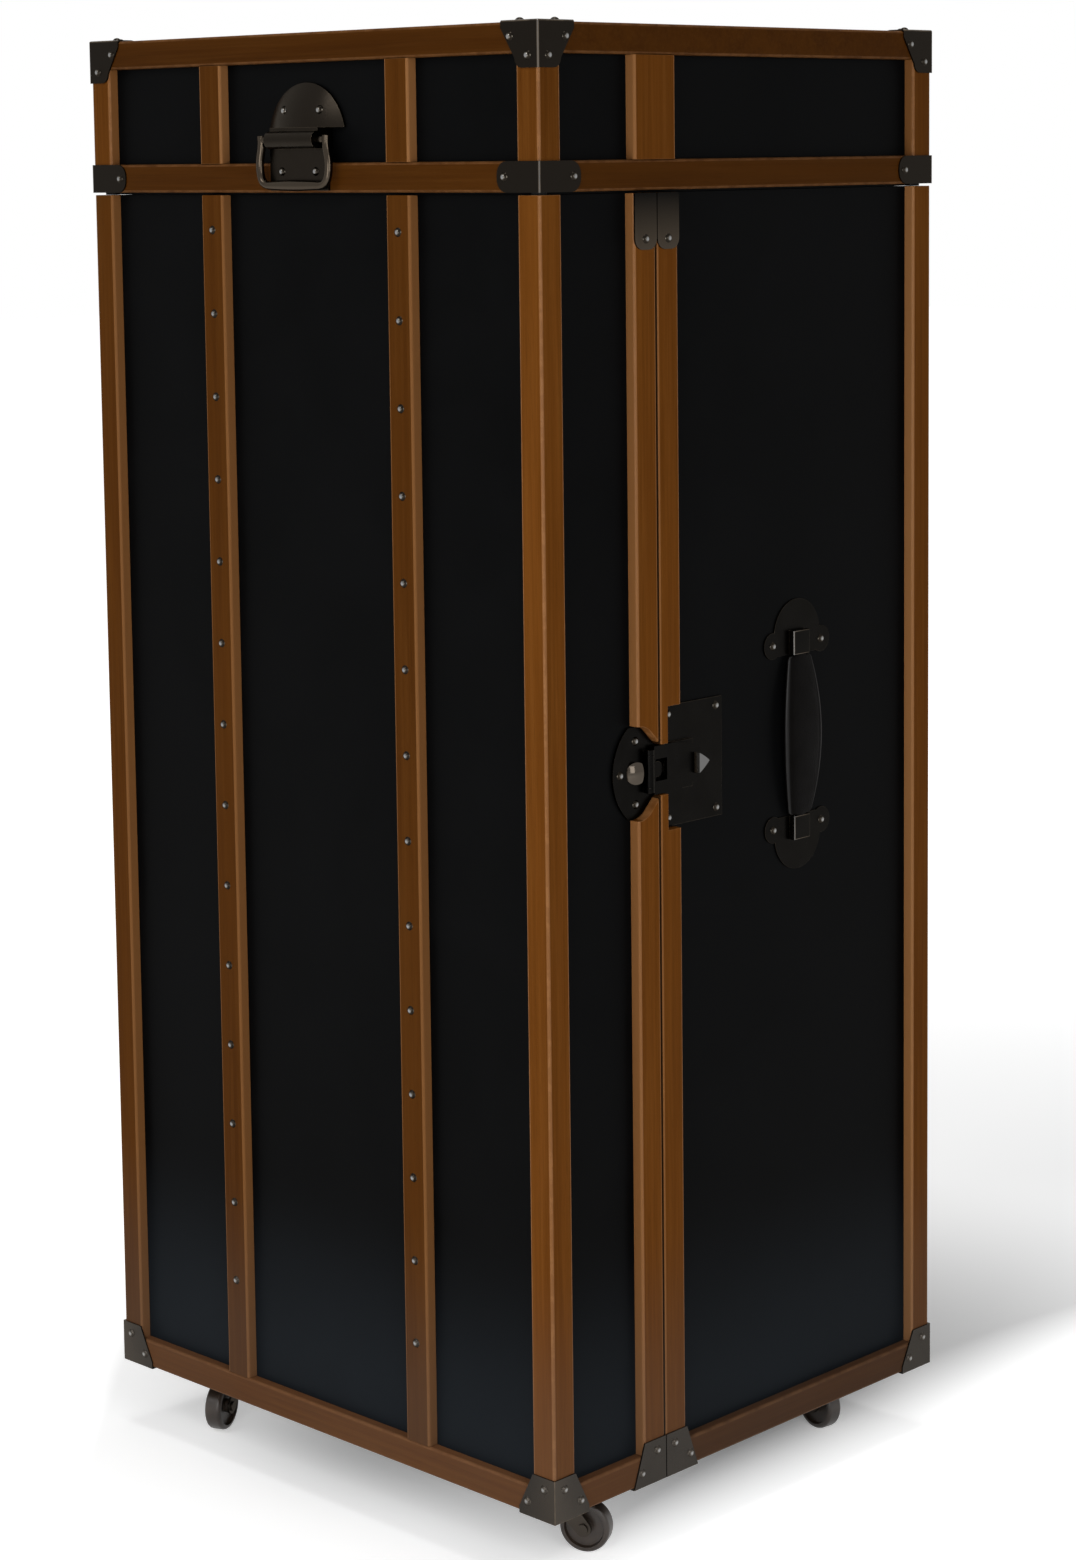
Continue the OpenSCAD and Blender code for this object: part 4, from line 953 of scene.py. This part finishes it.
LAMPS = {
    "high_box": {"place": (-0.4, -3.3, 3.4), "aim": (0, 0, 0.2), "size": (1.6, 1.6), "power": 42},
    "front_box": {"place": (0.9, -2.0, 0.9), "aim": (0, 0, 0.6), "size": (1.0, 1.0), "power": 13},
    "right_box": {"place": (2.5, -1.1, 1.4), "aim": (0, 0, 0.6), "size": (1.0, 1.6), "power": 20},
    "top_box": {"place": (0.1, -0.1, 5.5), "aim": (0, 0, 0.6), "size": (1.6, 1.6), "power": 95},
}


def add_lamp(name, place, aim, size, power):
    """A soft box that looks at a point."""
    data = bpy.data.lights.new(name, "AREA")
    data.shape = "RECTANGLE"
    data.size, data.size_y = size
    data.energy = power
    lamp = bpy.data.objects.new(name, data)
    lamp.location = place
    lamp.rotation_euler = (Vector(aim) - Vector(place)).to_track_quat("-Z", "Y").to_euler()
    bpy.context.scene.collection.objects.link(lamp)


# The floor's shadow behind the trunk and beneath it, and the lines where it ends
SHADOW_MIDDLE = (0.10, 0.35, 0)
SHADOW_CORE = 0.12
SHADOW_SHOULDER = 0.70
SHADOW_REACH = 3.0
CORE_GLOW = 0.10
SHOULDER_GLOW = 0.45
UNDER_MIDDLE = (-0.06, -0.12, 0)
UNDER_REACH = 0.24
UNDER_SHARE = 0.6
OPEN_GLOW = 0.75
RIGHT_EDGE = (0.15, 0.33)
FRONT_EDGE = (0.30, 0.60)
LEFT_EDGE = (0.38, 0.50)
LEFT_WAY = (-0.715, -0.699, 0)
FLOOR_HALF = 20.0
FLOOR_SEEN = (0.90, 0.90, 0.90, 1)
FLOOR_UNSEEN = (0.85, 0.85, 0.85, 1)
WHITE = (1, 1, 1, 1)
WORLD_LIGHT = 0.12
WORLD_SEEN = 1.0


def seen_rays(tree):
    """One on rays from the camera or by way of a reflection, and nothing on rays that carry light."""
    rays = add(tree, "ShaderNodeLightPath").outputs
    mirrored = math_node(tree, "MAXIMUM", rays["Is Glossy Ray"], rays["Is Transmission Ray"])
    return math_node(tree, "MAXIMUM", rays["Is Camera Ray"], mirrored)


def measured(tree, operation, place, other):
    """A distance or a product between a place and a fixed one."""
    return add(tree, "ShaderNodeVectorMath", {0: place, 1: other}, operation=operation).outputs["Value"]


def floor_glow(tree, place):
    """How white the floor shows: less beneath the trunk and in its shadow behind."""
    away = measured(tree, "DISTANCE", place, SHADOW_MIDDLE)
    near = ramp(tree, away, (SHADOW_CORE, SHADOW_SHOULDER), CORE_GLOW, SHOULDER_GLOW)
    far = ramp(tree, away, (SHADOW_SHOULDER, SHADOW_REACH), 0.0, 1.0 - SHOULDER_GLOW)
    beneath = ramp(tree, measured(tree, "DISTANCE", place, UNDER_MIDDLE), (0.0, UNDER_REACH), UNDER_SHARE)
    strength = times(tree, math_node(tree, "ADD", near, far), beneath)
    axes = axes_of(tree, place)
    ahead = times(tree, axes["Y"], -1.0)
    left = measured(tree, "DOT_PRODUCT", place, LEFT_WAY)
    for value, span in ((axes["X"], RIGHT_EDGE), (ahead, FRONT_EDGE), (left, LEFT_EDGE)):
        strength = math_node(tree, "MAXIMUM", strength, ramp(tree, value, span, 0.0, OPEN_GLOW))
    return strength


def add_floor():
    """A pale floor that shows white, with the trunk's soft shadow on it."""
    shape = bmesh.new()
    bmesh.ops.create_grid(shape, x_segments=1, y_segments=1, size=FLOOR_HALF)
    material = bpy.data.materials.new("studio_floor")
    material.use_nodes = True
    tree = material.node_tree
    tree.nodes.clear()
    place = add(tree, "ShaderNodeTexCoord").outputs["Object"]
    lit = add(tree, "ShaderNodeBsdfDiffuse", {"Color": FLOOR_SEEN}).outputs[0]
    glow = add(tree, "ShaderNodeEmission", {"Color": WHITE, "Strength": floor_glow(tree, place)}).outputs[0]
    pale = add(tree, "ShaderNodeAddShader", {0: lit, 1: glow}).outputs[0]
    plain = add(tree, "ShaderNodeBsdfDiffuse", {"Color": FLOOR_UNSEEN}).outputs[0]
    mixed = add(tree, "ShaderNodeMixShader", {0: seen_rays(tree), 1: plain, 2: pale}).outputs[0]
    add(tree, "ShaderNodeOutputMaterial", {"Surface": mixed})
    floor = as_piece(shape, "studio_floor", material)


def light_world():
    """A pale world, white behind the trunk."""
    world = bpy.data.worlds.new("studio")
    bpy.context.scene.world = world
    world.use_nodes = True
    tree = world.node_tree
    tree.nodes.clear()
    soft = add(tree, "ShaderNodeBackground", {"Color": WHITE, "Strength": WORLD_LIGHT}).outputs[0]
    white = add(tree, "ShaderNodeBackground", {"Color": WHITE, "Strength": WORLD_SEEN}).outputs[0]
    mixed = add(tree, "ShaderNodeMixShader", {0: seen_rays(tree), 1: soft, 2: white}).outputs[0]
    add(tree, "ShaderNodeOutputWorld", {"Surface": mixed})


add_camera()
add_floor()
light_world()
for lamp_name, lamp_settings in LAMPS.items():
    add_lamp(lamp_name, **lamp_settings)
bpy.context.scene.view_settings.view_transform = "Standard"
